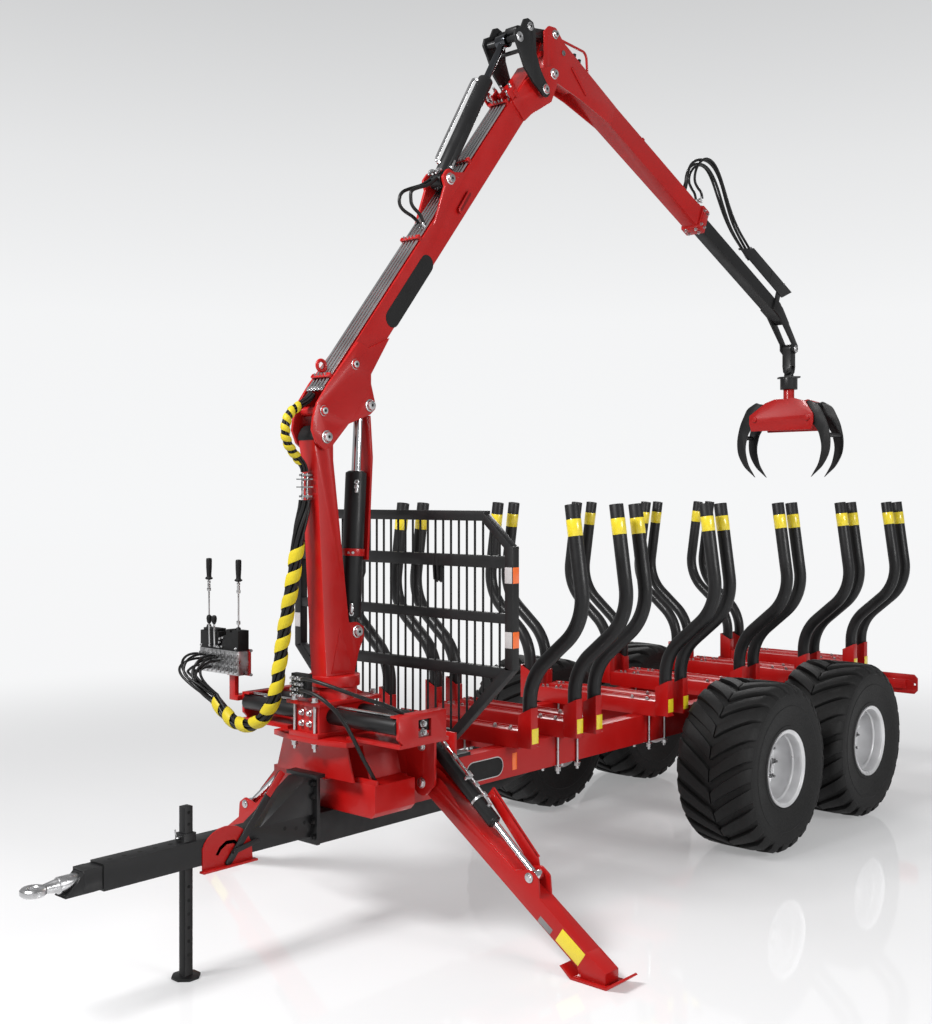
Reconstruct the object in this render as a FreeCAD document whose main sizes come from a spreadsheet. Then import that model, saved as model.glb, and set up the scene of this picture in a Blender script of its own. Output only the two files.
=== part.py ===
import FreeCAD, Part

import math
import os
import re

import Sketcher

# Forestry trailer with its timber crane. Millimetres, X forward to the towing eye, Y to the left,
# Z up, origin on the ground under the middle of the trailer's length.

doc = FreeCAD.newDocument("forestry_trailer")
sizes = doc.addObject("Spreadsheet::Sheet", "Sizes")

DRIVING = {
    # wheels and bogie
    "tyre_radius": 590, "wheel_y": 968, "hub_z": 590, "stub_radius": 42, "axle_z": 700,
    "axle_front": -1052, "axle_rear": -2393, "bogie_x": -1723, "bogie_y": 553, "bogie_width": 110,
    # frame
    "rail_y": 400, "rail_width": 100, "rail_low": 752, "rail_high": 943,
    "frame_front": 1450, "frame_rear": -3860, "bunk_low": 943, "bunk_high": 1050, "bunk_width": 110,
    "socket_inner": 550, "socket_outer": 653, "socket_low": 955, "socket_high": 1200,
    # stakes and headboard
    "stake_foot_y": 602, "stake_knee_y": 1016, "stake_top_y": 919, "stake_foot": 963,
    "stake_top": 2423, "stake_radius": 44, "headboard_x": 1505, "headboard_half": 924,
    # drawbar and jack
    "drawbar_low": 572, "drawbar_high": 703, "drawbar_width": 120, "drawbar_wall": 8,
    "drawbar_front": 3560, "eye_x": 3893, "eye_z": 637, "eye_radius": 62, "jack_x": 3045,
    "jack_side": 50, "jack_top": 881,
    # crane base, slewing gear and stabilisers
    "slew_x": 2022, "rack_z": 1235, "rack_radius": 45, "rack_offset": 117,
    "leg_x": 1670, "leg_width": 112, "leg_height": 108,
    # crane
    "column_half": 65, "boom_half": 75, "boom_height": 172, "plate": 18, "pin": 28,
    "stick_half": 65, "stick_height": 165, "wall": 10, "extension_half": 50,
    "extension_height": 115, "grapple_x": -3460, "hanger_z": 3796, "tine_plate": 14,
    "play": 0.05,
}
for row, (alias, number) in enumerate(DRIVING.items(), 1):
    sizes.set(f"A{row}", alias)
    sizes.set(f"B{row}", str(number))
    sizes.setAlias(f"B{row}", alias)
doc.recompute()
ALIASES = re.compile(r"\b(" + "|".join(DRIVING) + r")\b")


def val(size):
    """The number of a size, which is an alias of the sheet, a sum of aliases or a plain number."""
    if isinstance(size, str):
        return float(sizes.evalExpression(size))
    return float(size)


def bind(piece, prop, size):
    """Sets a property, by an expression of the sheet's cells where the size is one."""
    if isinstance(size, str):
        piece.setExpression(prop, ALIASES.sub(r"Sizes.\1", size))
    else:
        piece.setExpression(prop, str(float(size)))


def minus(high, low):
    return f"({high}) - ({low})"


def at(piece, x, y, z, turn=None):
    if turn is not None:
        piece.Placement = FreeCAD.Placement(FreeCAD.Vector(), turn)
    for axis, size in zip("xyz", (x, y, z)):
        bind(piece, f"Placement.Base.{axis}", size)
    return piece


# ---------------------------------------------------------------- ways of making a solid

def block(name, x, y, z):
    """A box from pairs of sizes, low and high, along each axis."""
    box = doc.addObject("Part::Box", name)
    for prop, (low, high) in zip(("Length", "Width", "Height"), (x, y, z)):
        bind(box, prop, minus(high, low))
    return at(box, x[0], y[0], z[0])


TURNS = {
    "x": FreeCAD.Rotation(FreeCAD.Vector(0, 1, 0), 90),
    "y": FreeCAD.Rotation(FreeCAD.Vector(1, 0, 0), -90),
    "z": FreeCAD.Rotation(),
}


def round_bar(name, axis, start, radius, length):
    """A cylinder that starts at a point and runs along +X, +Y or +Z."""
    bar = doc.addObject("Part::Cylinder", name)
    bind(bar, "Radius", radius)
    bind(bar, "Height", length)
    return at(bar, *start, TURNS[axis])


def strut(name, start, end, radius):
    """A round bar between two points."""
    low = FreeCAD.Vector(*[val(size) for size in start])
    high = FreeCAD.Vector(*[val(size) for size in end])
    bar = doc.addObject("Part::Cylinder", name)
    bind(bar, "Radius", radius)
    bar.Height = (high - low).Length
    bar.Placement = FreeCAD.Placement(low, FreeCAD.Rotation(FreeCAD.Vector(0, 0, 1), high - low))
    return bar


PLANES = {"XY": ("XY_Plane", "z"), "XZ": ("XZ_Plane", "y"), "YZ": ("YZ_Plane", "x")}


def sketch_on(body, plane, outline, holes=(), inner=()):
    """A closed outline with round holes and inner windows, every point held by dimensions."""
    sketch = body.newObject("Sketcher::SketchObject", f"{body.Name}_outline")
    sketch.AttachmentSupport = [(o, "") for o in body.Origin.OriginFeatures if o.Role == plane]
    sketch.MapMode = "FlatFace"
    for loop in (outline, *inner):
        first = sketch.GeometryCount
        corners = [FreeCAD.Vector(val(a), val(b), 0) for a, b in loop]
        for number, corner in enumerate(corners):
            following = corners[(number + 1) % len(corners)]
            sketch.addGeometry(Part.LineSegment(corner, following), False)
        for number, corner in enumerate(corners):
            line = first + number
            before = first + (number - 1) % len(corners)
            sketch.addConstraint(Sketcher.Constraint("Coincident", before, 2, line, 1))
            sketch.addConstraint(Sketcher.Constraint("DistanceX", -1, 1, line, 1, corner.x))
            sketch.addConstraint(Sketcher.Constraint("DistanceY", -1, 1, line, 1, corner.y))
    for a, b, radius in holes:
        centre = FreeCAD.Vector(val(a), val(b), 0)
        circle = Part.Circle(centre, FreeCAD.Vector(0, 0, 1), val(radius))
        line = sketch.addGeometry(circle, False)
        sketch.addConstraint(Sketcher.Constraint("DistanceX", -1, 1, line, 3, centre.x))
        sketch.addConstraint(Sketcher.Constraint("DistanceY", -1, 1, line, 3, centre.y))
        index = sketch.addConstraint(Sketcher.Constraint("Radius", line, val(radius)))
        bind(sketch, f"Constraints[{index}]", radius)
    return sketch


def rounded(outline, radii):
    """The outline with some corners, given by number, replaced by points on an arc."""
    points = []
    for number, corner in enumerate(outline):
        if number not in radii:
            points.append(corner)
            continue
        here = FreeCAD.Vector(val(corner[0]), val(corner[1]), 0)
        ahead = outline[(number + 1) % len(outline)]
        behind = outline[number - 1]
        to_next = (FreeCAD.Vector(val(ahead[0]), val(ahead[1]), 0) - here).normalize()
        to_last = (FreeCAD.Vector(val(behind[0]), val(behind[1]), 0) - here).normalize()
        half = to_next.getAngle(to_last) / 2
        reach = radii[number] / math.tan(half)
        centre = here + (to_next + to_last).normalize() * (radii[number] / math.sin(half))
        start = here + to_last * reach - centre
        end = here + to_next * reach - centre
        for step in range(ARC_STEPS + 1):
            share = step / ARC_STEPS
            spoke = (start * (1 - share) + end * share).normalize() * radii[number] + centre
            points.append((spoke.x, spoke.y))
    return points


ARC_STEPS = 4


def plate(name, plane, outline, thickness, middle=0, holes=(), inner=(), radii=None):
    """A padded outline whose middle plane stands at a distance from the origin's plane."""
    role, axis = PLANES[plane]
    body = doc.addObject("PartDesign::Body", name)
    sketch = sketch_on(body, role, rounded(outline, radii or {}), holes, inner)
    pad = body.newObject("PartDesign::Pad", f"{name}_pad")
    pad.Profile = sketch
    pad.Midplane = True
    bind(pad, "Length", thickness)
    sketch.Visibility = False
    bind(body, f"Placement.Base.{axis}", middle)
    return body


def turned(name, axis_point, outline, plane="XY_Plane"):
    """A revolved outline of (radius, along) points about Y, or about Z in the XZ plane."""
    body = doc.addObject("PartDesign::Body", name)
    sketch = sketch_on(body, plane, outline)
    spun = body.newObject("PartDesign::Revolution", f"{name}_turned")
    spun.Profile = sketch
    spun.ReferenceAxis = (sketch, ["V_Axis"])
    spun.Angle = 360
    sketch.Visibility = False
    return at(body, *axis_point)


def fuse(name, *pieces):
    union = doc.addObject("Part::MultiFuse", name)
    union.Shapes = list(pieces)
    union.Refine = True
    return union


def cut(name, base, tool):
    left = doc.addObject("Part::Cut", name)
    left.Base = base
    left.Tool = tool
    return left


def group(name, *pieces):
    """Like pieces that don't touch, in one node."""
    together = doc.addObject("Part::Compound", name)
    together.Links = list(pieces)
    return together


def grown(outline, low):
    """The corners of a convex outline moved inwards by a wall."""
    points = [FreeCAD.Vector(val(a), val(b), 0) for a, b in outline]
    moved = []
    for number, here in enumerate(points):
        ahead = (points[(number + 1) % len(points)] - here).normalize()
        behind = (points[number - 1] - here).normalize()
        half = ahead.getAngle(behind) / 2
        spot = here + (ahead + behind).normalize() * (low / math.sin(half))
        moved.append((spot.x, spot.y))
    return moved


def shell(name, plane, outline, thickness, middle=0, wall=10, ends=10):
    """A closed box section: a padded convex outline with a smaller one taken out of it."""
    outer = plate(f"{name}_outer", plane, outline, thickness, middle)
    inner = plate(f"{name}_inner", plane, grown(outline, wall), minus(thickness, 2 * ends), middle)
    return cut(name, outer, inner)


NODES = []


def node(piece, label):
    piece.Label = label
    NODES.append(piece)
    return piece


# ---------------------------------------------------------------- drawbar and jack

def drawbar():
    low, high, half = "drawbar_low", "drawbar_high", "drawbar_width / 2"
    ring = [(f"-({half})", low), (half, low), (half, high), (f"-({half})", high)]
    wall = "drawbar_wall"
    hollow = [(f"-({half}) + {wall}", f"{low} + {wall}"), (f"{half} - {wall}", f"{low} + {wall}"),
              (f"{half} - {wall}", f"{high} - {wall}"), (f"-({half}) + {wall}", f"{high} - {wall}")]
    tube = plate("drawbar_tube", "YZ", ring, "drawbar_front - 2240", "(drawbar_front + 2240) / 2",
                 inner=[hollow])
    beam = shell("drawbar_beam", "XZ",
                 [(2240, 703), (1480, 703), (1430, 762), (300, 762), (300, 640), (900, 532),
                  (2240, 532)], 190)
    front_plate = block("pedestal_plate", (2228, 2252), (-110, 110), (532, 905))
    flange = block("pedestal_flange", (2205, 2275), (-125, 125), (905, 925))
    wedge = plate("pedestal_wedge", "XZ", [(2250, 700), (2250, 906), (2300, 906), (2620, 700)], 148)
    pieces = [tube, beam, front_plate, flange, wedge]
    pieces.append(block("jack_sleeve", ("jack_x - 37", "jack_x + 37"), (-37, 37), (700, 745)))
    room = block("jack_room", ("jack_x - jack_side / 2 - 3", "jack_x + jack_side / 2 + 3"),
                 ("-jack_side / 2 - 3", "jack_side / 2 + 3"), (500, 800))
    node(cut("drawbar", fuse("drawbar_body", *pieces), room), "drawbar")


def drawbar_inner():
    low, high = "drawbar_low + drawbar_wall + 1", "drawbar_high - drawbar_wall - 1"
    half = "drawbar_width / 2 - drawbar_wall - 1"
    section = [(f"-({half})", low), (half, low), (half, high), (f"-({half})", high)]
    inside = [(f"-({half}) + 9", f"{low} + 9"), (f"{half} - 9", f"{low} + 9"),
              (f"{half} - 9", f"{high} - 9"), (f"-({half}) + 9", f"{high} - 9")]
    tube = plate("inner_tube", "YZ", section, "560", "3380", inner=[inside])
    end = plate("inner_end", "XZ", [(3600, "drawbar_low + 8"), (3757, "drawbar_low + 8"),
                                    (3643, "drawbar_high - 8"), (3600, "drawbar_high - 8")], 100)
    node(fuse("drawbar_inner_tube", tube, end), "drawbar_inner_tube")


def tow_eye():
    ring = turned("eye_ring", ("eye_x", 0, "eye_z"),
                  [(26, -13), (33, -19), (53, -19), ("eye_radius", -10), ("eye_radius", 10), (53, 19),
                   (33, 19), (26, 13)], "XZ_Plane")
    cone = doc.addObject("Part::Cone", "eye_shank")
    cone.Radius1 = 34
    cone.Radius2 = 22
    bind(cone, "Height", "eye_x - eye_radius - 3770 + 12")
    at(cone, 3770, 0, "eye_z", TURNS["x"])
    root = round_bar("eye_root", "x", (3640, 0, "eye_z"), 40, 130)
    eye = fuse("eye_solid", ring, cone, root)
    node(cut("tow_eye", eye, doc.getObject("inner_end")), "tow_eye")


def jack():
    side = "jack_side / 2"
    leg = block("jack_tube", (f"jack_x - {side}", f"jack_x + {side}"), (f"-{side}", side),
                (14, "jack_top"))
    foot_points = [(val("jack_x") + 76 * math.cos(math.radians(22.5 + 45 * n)),
                    76 * math.sin(math.radians(22.5 + 45 * n))) for n in range(8)]
    foot = plate("jack_foot", "XY", foot_points, 14, 7)
    node(fuse("jack_leg", leg, foot), "jack_leg")


def handbrake():
    slot = [(2755, 640), (2790, 668), (2842, 672), (2884, 648), (2908, 612), (2893, 604),
            (2872, 632), (2838, 652), (2796, 650), (2766, 626)]
    quadrant = plate("brake_quadrant", "XZ",
                     [(2990, 545), (2990, 655), (2962, 700), (2900, 738), (2830, 748), (2760, 730),
                      (2705, 690), (2675, 630), (2667, 545)], 8, 64, inner=[slot])
    flange = block("brake_flange", (2655, 3005), (60, 98), (535, 546))
    lever = plate("brake_arm", "XZ", [(2815, 546), (2850, 556), (2490, 985), (2452, 962)], 8, 76)
    link = plate("brake_link", "XZ", [(2800, 596), (2806, 622), (2640, 652), (2634, 626)], 8, 84)
    pivot = round_bar("brake_pivot", "y", (2800, 68, 606), 11, 26)
    node(fuse("handbrake_lever", quadrant, flange, lever, link, pivot), "handbrake_lever")


# ---------------------------------------------------------------- crane base and slewing gear

def crane_base():
    lower = shell("base_lower", "YZ",
                  [(-430, 735), (-400, 704), (400, 704), (430, 735), (430, 885), (-430, 885)],
                  310, 1958, 12, 12)
    middle = shell("base_middle", "YZ", [(-330, 704), (330, 704), (330, 885), (-330, 885)],
                   305, 1657, 12, 12)
    upper = shell("base_upper", "YZ", [(-285, 883), (285, 883), (222, 1094), (-222, 1094)], 373, 1831.5,
                  12, 12)
    core = shell("base_core", "YZ", [(-90, 883), (90, 883), (90, 1094), (-90, 1094)], 170, 2086, 10, 10)
    front = plate("base_front", "YZ", [(-325, 897), (325, 897), (262, 1094), (-262, 1094)], 14, 2170)
    lip = block("base_lip", (2097, 2112), (290, 440), (884, 914))
    top = plate("base_top", "XY",
                [(1577, -300), (2150, -314), (2215, -306), (2258, -120), (2258, 120), (2215, 310),
                 (2150, 320), (1577, 300)], 30, 1107)
    pieces = [lower, middle, upper, core, front, lip, top]
    for side in (1, -1):
        outline = [(side * 215, 1120), (side * 545, 1120), (side * 545, 850), (side * 447, 752),
                   (side * 349, 850), (side * 215, 885)]
        for number, x in enumerate((1586, 1756)):
            pieces.append(plate(f"bracket_{number}_{'left' if side > 0 else 'right'}", "YZ", outline,
                                18, x, radii={2: 40, 3: 60, 4: 20}))
        low, high = sorted((side * 250, side * 665))
        pieces.append(block(f"arm_{side + 1}", (1775, 2160), (low, high), (1122, 1142)))
        low, high = sorted((side * 645, side * 665))
        window = [[(1915, 1165), (2015, 1165), (2015, 1262), (1915, 1262)]]
        pieces.append(plate(f"end_plate_{side + 1}", "XZ",
                            [(1795, 1130), (2120, 1130), (2165, 1175), (2165, 1285), (1795, 1285)],
                            20, side * 655, inner=window))
        low, high = sorted((side * 600, side * 665))
        pieces.append(block(f"end_fold_{side + 1}", (1795, 2165), (low, high), (1285, 1297)))
        pieces += [round_bar(f"leg_pin_{number}_{side + 1}", "x", (1577, side * 447, z), "pin - 6", 200)
                   for number, z in enumerate((850, 1060))]
    node(fuse("crane_base", *pieces), "crane_base")


def slew_housing():
    low, high = "slew_x - 213", "slew_x + 213"
    lower = block("housing_body", (low, high), (-110, 110), (1145, 1310))
    pad = block("housing_pad", ("slew_x - 236", "slew_x + 236"), (-122, 122), (1122, 1150))
    cap = block("housing_cap", ("slew_x - 238", "slew_x + 238"), (-142, 142), (1300, 1322))
    neck = round_bar("housing_neck", "z", ("slew_x", 0, 1310), 128, 75)
    rib = plate("housing_rib", "XZ", [(1790, 1315), (2254, 1315), (2140, 1372), (1904, 1372)], 30)
    cross_rib = plate("housing_cross_rib", "YZ", [(-136, 1315), (136, 1315), (126, 1372), (-126, 1372)],
                      30, "slew_x")
    node(fuse("slew_housing", lower, pad, cap, neck, rib, cross_rib), "slew_housing")


def rack_cylinders():
    bars = []
    for side in (-1, 1):
        start = 110 if side > 0 else -645
        for place in (-1, 1):
            x = f"slew_x + ({place}) * rack_offset"
            bars.append(round_bar(f"rack_{side + 1}{place + 1}", "y", (x, start, "rack_z"),
                                  "rack_radius", 535))
    node(group("rack_cylinders", *bars), "rack_cylinders")


def valve_block():
    post = block("valve_post", (2170, 2200), (-745, -690), (1245, 1400))
    arm = block("valve_arm", (2110, 2200), (-745, -665), (1245, 1275))
    back = block("valve_back", (2138, 2148), (-1008, -612), (1392, 1553))
    shelf = block("valve_shelf", (2138, 2205), (-760, -680), (1392, 1400))
    node(fuse("valve_stand", post, arm, back, shelf), "valve_stand")
    near_cover = [(-620, 1540), (-620, 1668), (-680, 1668), (-680, 1655), (-700, 1655), (-700, 1672),
                  (-735, 1672), (-735, 1632), (-762, 1632), (-790, 1540)]
    parts = [block("valve_body", (2148, 2235), (-1000, -620), (1400, 1545)),
             plate("near_cover", "YZ", near_cover, 82, 2191),
             block("far_cover", (2150, 2232), (-990, -810), (1540, 1666))]
    for y in (-960, -669):
        parts.append(strut(f"lever_{-y}", (2190, y, 1660), (2190, y, 1970), 9))
        parts.append(strut(f"grip_{-y}", (2190, y, 1962), (2190, y, 2092), 18))
    for y in (-877, -828):
        parts.append(block(f"spool_ear_{-y}", (2225, 2258), (y - 8, y + 8), (1556, 1574)))
        parts.append(strut(f"spool_lever_{-y}", (2250, y, 1560), (2250, y, 1705), 7))
        parts.append(strut(f"spool_knob_{-y}", (2250, y, 1698), (2250, y, 1752), 14))
    manifold = fuse("manifold", block("manifold_body", (2250, 2292), (-62, 70), (1350, 1480)),
                    block("manifold_bracket", (2252, 2272), (-40, 50), (1322, 1352)))
    node(group("valve_block", fuse("valve_set", *parts), manifold), "valve_block")


# ---------------------------------------------------------------- frame, bunks, stakes, headboard

def frame_rails():
    pieces = []
    for side in (-1, 1):
        low, high = side * 400 - 50, side * 400 + 50
        section = [(low, "rail_low"), (high, "rail_low"), (high, "rail_high"), (low, "rail_high")]
        pieces.append(shell(f"rail_{side + 1}", "YZ", section, "frame_front - frame_rear",
                            "(frame_front + frame_rear) / 2", 8, 8))
    for number, x in enumerate((1300, 400, -700, -1723, -2700, -3500)):
        deep = 120 if x != -1723 else 160
        section = [(x - deep / 2, 762), (x + deep / 2, 762), (x + deep / 2, 933), (x - deep / 2, 933)]
        pieces.append(shell(f"cross_member_{number}", "XZ", section, 701, 0, 8, 8))
    node(fuse("frame_rails", *pieces), "frame_rails")


STAKE_X = (984, 535, 329, -507, -700, -1520, -1727, -2547, -2737, -3427, -3636)


def bunks():
    beams = []
    for number, x in enumerate(STAKE_X):
        low, high = f"{x} - 10 - bunk_width / 2", f"{x} - 10 + bunk_width / 2"
        section = [(low, "bunk_low"), (high, "bunk_low"), (high, "bunk_high"), (low, "bunk_high")]
        beams.append(shell(f"bunk_{number}", "XZ", section, "2 * socket_inner", 0, 8, 8))
    node(group("bunk_beams", *beams), "bunk_beams")


SOCKETS = []


def stake_sockets():
    """Sleeves open towards the rear, each a foot plate with three walls and a slanted top."""
    for side in (1, -1):
        name = "left" if side > 0 else "right"
        sleeves = []
        for number, x in enumerate(STAKE_X):
            inner, outer = f"{side} * socket_inner", f"{side} * socket_outer"
            ring = [(x - 12, inner), (x + 51, inner), (x + 51, outer), (x - 12, outer),
                    (x - 12, f"{side} * (socket_outer - 6)"), (x + 45, f"{side} * (socket_outer - 6)"),
                    (x + 45, f"{side} * (socket_inner + 7)"), (x - 12, f"{side} * (socket_inner + 7)")]
            walls = plate(f"sleeve_{name}_{number}", "XY", ring, "socket_high - socket_low",
                          "(socket_high + socket_low) / 2")
            foot = plate(f"sleeve_foot_{name}_{number}", "XY",
                         [(x - 30, inner), (x + 51, inner), (x + 51, outer), (x - 30, outer)], 8,
                         "socket_low + 4")
            sleeves.append(fuse(f"socket_{name}_{number}", walls, foot))
        slant = plate(f"slant_{name}", "YZ",
                      [(f"{side} * (socket_inner - 10)", "socket_high - 55"),
                       (f"{side} * (socket_outer + 10)", "socket_high + 5"),
                       (f"{side} * (socket_outer + 10)", "socket_high + 60"),
                       (f"{side} * (socket_inner - 10)", "socket_high + 60")], 5000, -1300)
        SOCKETS.append(cut(f"sockets_{name}", group(f"sleeves_{name}", *sleeves), slant))
    node(group("stake_sockets", *SOCKETS), "stake_sockets")


def stake_line(side, x):
    foot, top = val("stake_foot_y") * side, val("stake_top_y") * side
    corners = [(x, foot, val("stake_foot")), (x, foot, 1378), (x, val("stake_knee_y") * side, 1733),
               (x, top, val("stake_top"))]
    return arc_path([FreeCAD.Vector(*corner) for corner in corners], [340, 340])


def arc_path(corners, radii):
    """Straight runs joined by tangent arcs, as one wire."""
    edges = []
    start = corners[0]
    for number, radius in enumerate(radii, 1):
        corner = corners[number]
        back = (corners[number - 1] - corner).normalize()
        ahead = (corners[number + 1] - corner).normalize()
        half = back.getAngle(ahead) / 2
        reach = radius / math.tan(half)
        centre = corner + (back + ahead).normalize() * (radius / math.sin(half))
        into = corner + back * reach
        out = corner + ahead * reach
        middle = centre + (corner - centre).normalize() * radius
        edges.append(Part.LineSegment(start, into).toShape())
        edges.append(Part.Arc(into, middle, out).toShape())
        start = out
    edges.append(Part.LineSegment(start, corners[-1]).toShape())
    return Part.Wire(edges)


def tube_along(path, radius, hollow=0.0):
    """A round tube along a wire that starts straight up or along its first edge."""
    start = path.Edges[0].Vertexes[0].Point
    ahead = path.Edges[0].tangentAt(path.Edges[0].FirstParameter)
    ring = Part.Wire(Part.Circle(start, ahead, radius).toShape())
    solid = path.makePipeShell([ring], True, True)
    if hollow:
        bore = Part.Wire(Part.Circle(start, ahead, hollow).toShape())
        solid = solid.cut(path.makePipeShell([bore], True, True))
    return solid


def stakes():
    radius = val("stake_radius")
    solids = [tube_along(stake_line(side, x), radius, radius - 6) for side in (1, -1) for x in STAKE_X]
    feature = doc.addObject("Part::Feature", "stakes")
    feature.Shape = Part.makeCompound(solids)
    node(feature, "stakes")


def headboard():
    x = "headboard_x"
    half = val("headboard_half")
    outline = [(-half, 1500), (-half, 2191), (-704, 2389), (704, 2389), (half, 2191), (half, 1500),
               (440, 1060), (-440, 1060)]
    bar = 58
    inner_half = half - 55
    windows = [
        [(-inner_half, 2136), (-inner_half, 2172), (-680, 2331), (680, 2331), (inner_half, 2172),
         (inner_half, 2136)],
        [(-inner_half, 1814), (inner_half, 1814), (inner_half, 2066), (-inner_half, 2066)],
        [(-inner_half, 1510), (inner_half, 1510), (inner_half, 1758), (-inner_half, 1758)],
        [(-410, 1118), (410, 1118), (788, 1446), (-788, 1446)],
    ]
    frame = plate("headboard_frame", "YZ", outline, bar, x, inner=windows)
    feet = [block(f"headboard_foot_{side + 1}", ("headboard_x - 29", "headboard_x + 29"),
                  (side * 400 - 50, side * 400 + 50), (943, 1062)) for side in (-1, 1)]
    feet += [block(f"headboard_shoe_{side + 1}", (1350, "headboard_x + 29"),
                   (side * 400 - 50, side * 400 + 50), (943, 963)) for side in (-1, 1)]
    bars = []
    for number in range(-13, 14):
        y = 62 * number
        top = 2335 if abs(y) < 680 else 2335 - (abs(y) - 680) * 0.84
        bars.append(round_bar(f"grid_{number + 13}", "z", (x, y, 1450), 9, top - 1450))
    node(fuse("headboard", frame, *feet, *bars), "headboard")


def rear_beam():
    beam = block("rear_tube", (-3894, -3860), (-900, 900), (788, 868))
    face = plate("rear_face", "YZ", [(-1000, 775), (-970, 744), (970, 744), (1000, 775), (1000, 882),
                                     (970, 913), (-970, 913), (-1000, 882)], 12, -3900,
                 holes=[(side * 975, 828, 10) for side in (-1, 1)])
    node(fuse("rear_beam", beam, face), "rear_beam")


# ---------------------------------------------------------------- bogie and wheels

def bogie():
    axle = round_bar("bogie_shaft", "y", ("bogie_x", -635, "axle_z"), 45, 1270)
    carriers = [block(f"bogie_carrier_{side + 1}", ("bogie_x - 90", "bogie_x + 90"),
                      (side * 400 - 48, side * 400 + 48), (640, 752)) for side in (-1, 1)]
    node(fuse("bogie_axle", axle, *carriers), "bogie_axle")
    for side, label in ((1, "bogie_beam_left"), (-1, "bogie_beam_right")):
        outline = [(-2500, 540), (-2290, 500), (-1830, 580), (-1616, 580), (-1155, 500),
                   (-945, 540), (-945, 660), (-1155, 690), (-1620, 790), (-1826, 790),
                   (-2290, 690), (-2500, 660)]
        beam = plate(f"{label}_box", "XZ", outline, "bogie_width", f"({side}) * bogie_y",
                     holes=[("bogie_x", "axle_z", "45 + play")])
        stubs = []
        for number, x in enumerate(("axle_front", "axle_rear")):
            start = 603 if side > 0 else -945
            stubs.append(round_bar(f"{label}_stub_{number}", "y", (x, start, "hub_z"), "stub_radius", 342))
        node(fuse(label, beam, *stubs), label)


WHEELS = (
    ("front_left", "axle_front", 1), ("rear_left", "axle_rear", 1),
    ("front_right", "axle_front", -1), ("rear_right", "axle_rear", -1),
)


def tyre_outline():
    """Radius and distance along the axle from the tyre's middle plane: a casing open inwards."""
    outside = [(290, -232), (330, -262), (430, -289), (500, -290), (553, -272), (583, -236),
               ("tyre_radius", -120)]
    inside = [(564, -110), (556, -222), (532, -252), (492, -266), (432, -264), (340, -240), (290, -214)]
    outer = outside + [(radius, -along) for radius, along in reversed(outside)]
    return outer + [(radius, -along) for radius, along in reversed(inside)] + inside


def rim_outline(side):
    """A deep dish: two flanges, the well, the disc towards the outside and its hub."""
    points = [(42.05, -20), (42.05, 110), (84, 110), (84, 64), (120, 60), (215, 66), (250, 140),
              (262, 262), (262, 274), (298, 274), (298, 266), (286, 256), (288, 214), (272, 180),
              (266, -180), (288, -214), (286, -256), (298, -266), (298, -274), (262, -274),
              (254, -180), (240, 40), (200, 48), (120, 42), (84, 36), (84, -20)]
    return [(radius, side * along) for radius, along in points]


def wheels():
    for place, x, side in WHEELS:
        centre = (x, f"({side}) * wheel_y", "hub_z")
        node(turned(f"tyre_{place}", centre, tyre_outline()), f"tyre_{place}")
        node(turned(f"rim_{place}", centre, rim_outline(side)), f"rim_{place}")


# ---------------------------------------------------------------- stabiliser legs

LEG_PIVOT = (447, 850)
LEG_TOP_PIN = (447, 1060)
LEG_ROD_PIN = (1197, 455)
LEG_ANKLE = (1600, 66)


def leg_point(along, up, side):
    """A point beside the leg's own line from pivot to ankle."""
    run = math.hypot(LEG_ANKLE[0] - LEG_PIVOT[0], LEG_ANKLE[1] - LEG_PIVOT[1])
    cos = (LEG_ANKLE[0] - LEG_PIVOT[0]) / run
    sin = (LEG_ANKLE[1] - LEG_PIVOT[1]) / run
    return (side * (LEG_PIVOT[0] + along * cos - up * sin), LEG_PIVOT[1] + along * sin + up * cos)


def legs():
    for side, place in ((1, "left"), (-1, "right")):
        half = val("leg_height") / 2
        beam_points = [leg_point(a, u, side) for a, u in
                       ((-45, -40), (60, -half), (1340, -half), (1360, half), (110, half), (-45, 40))]
        solid = plate(f"leg_beam_{place}", "YZ", beam_points, "leg_width", "leg_x",
                      holes=[(side * LEG_PIVOT[0], LEG_PIVOT[1], "pin - 6 + play")])
        room = [leg_point(a, u, side) for a, u in
                ((110, 10 - half), (1320, 10 - half), (1336, half - 10), (120, half - 10))]
        beam = cut(f"leg_box_{place}", solid,
                   plate(f"leg_room_{place}", "YZ", room, "leg_width - 20", "leg_x"))
        lug_points = [leg_point(a, u, side) for a, u in
                      ((740, half - 8), (820, 132), (890, 132), (960, half - 8))]
        lugs = [plate(f"leg_lug_{place}_{n + 1}", "YZ", lug_points, 12, f"leg_x + ({n}) * 50",
                      radii={1: 30, 2: 30}) for n in (-1, 1)]
        foot = plate(f"leg_foot_{place}", "YZ",
                     [(side * 1490, 0), (side * 1715, 0), (side * 1790, 55), (side * 1778, 62),
                      (side * 1708, 12), (side * 1497, 12), (side * 1432, 62), (side * 1420, 55)],
                     170, "leg_x")
        ankle = block(f"leg_ankle_{place}", ("leg_x - 50", "leg_x + 50"),
                      tuple(sorted((side * 1545, side * 1655))), (5, 70))
        node(fuse(f"leg_{place}", beam, *lugs, ankle, foot), f"leg_{place}")
        cylinder(f"leg_barrel_{place}", f"leg_rod_{place}", "leg_x", LEG_TOP_PIN, LEG_ROD_PIN, side)


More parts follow.
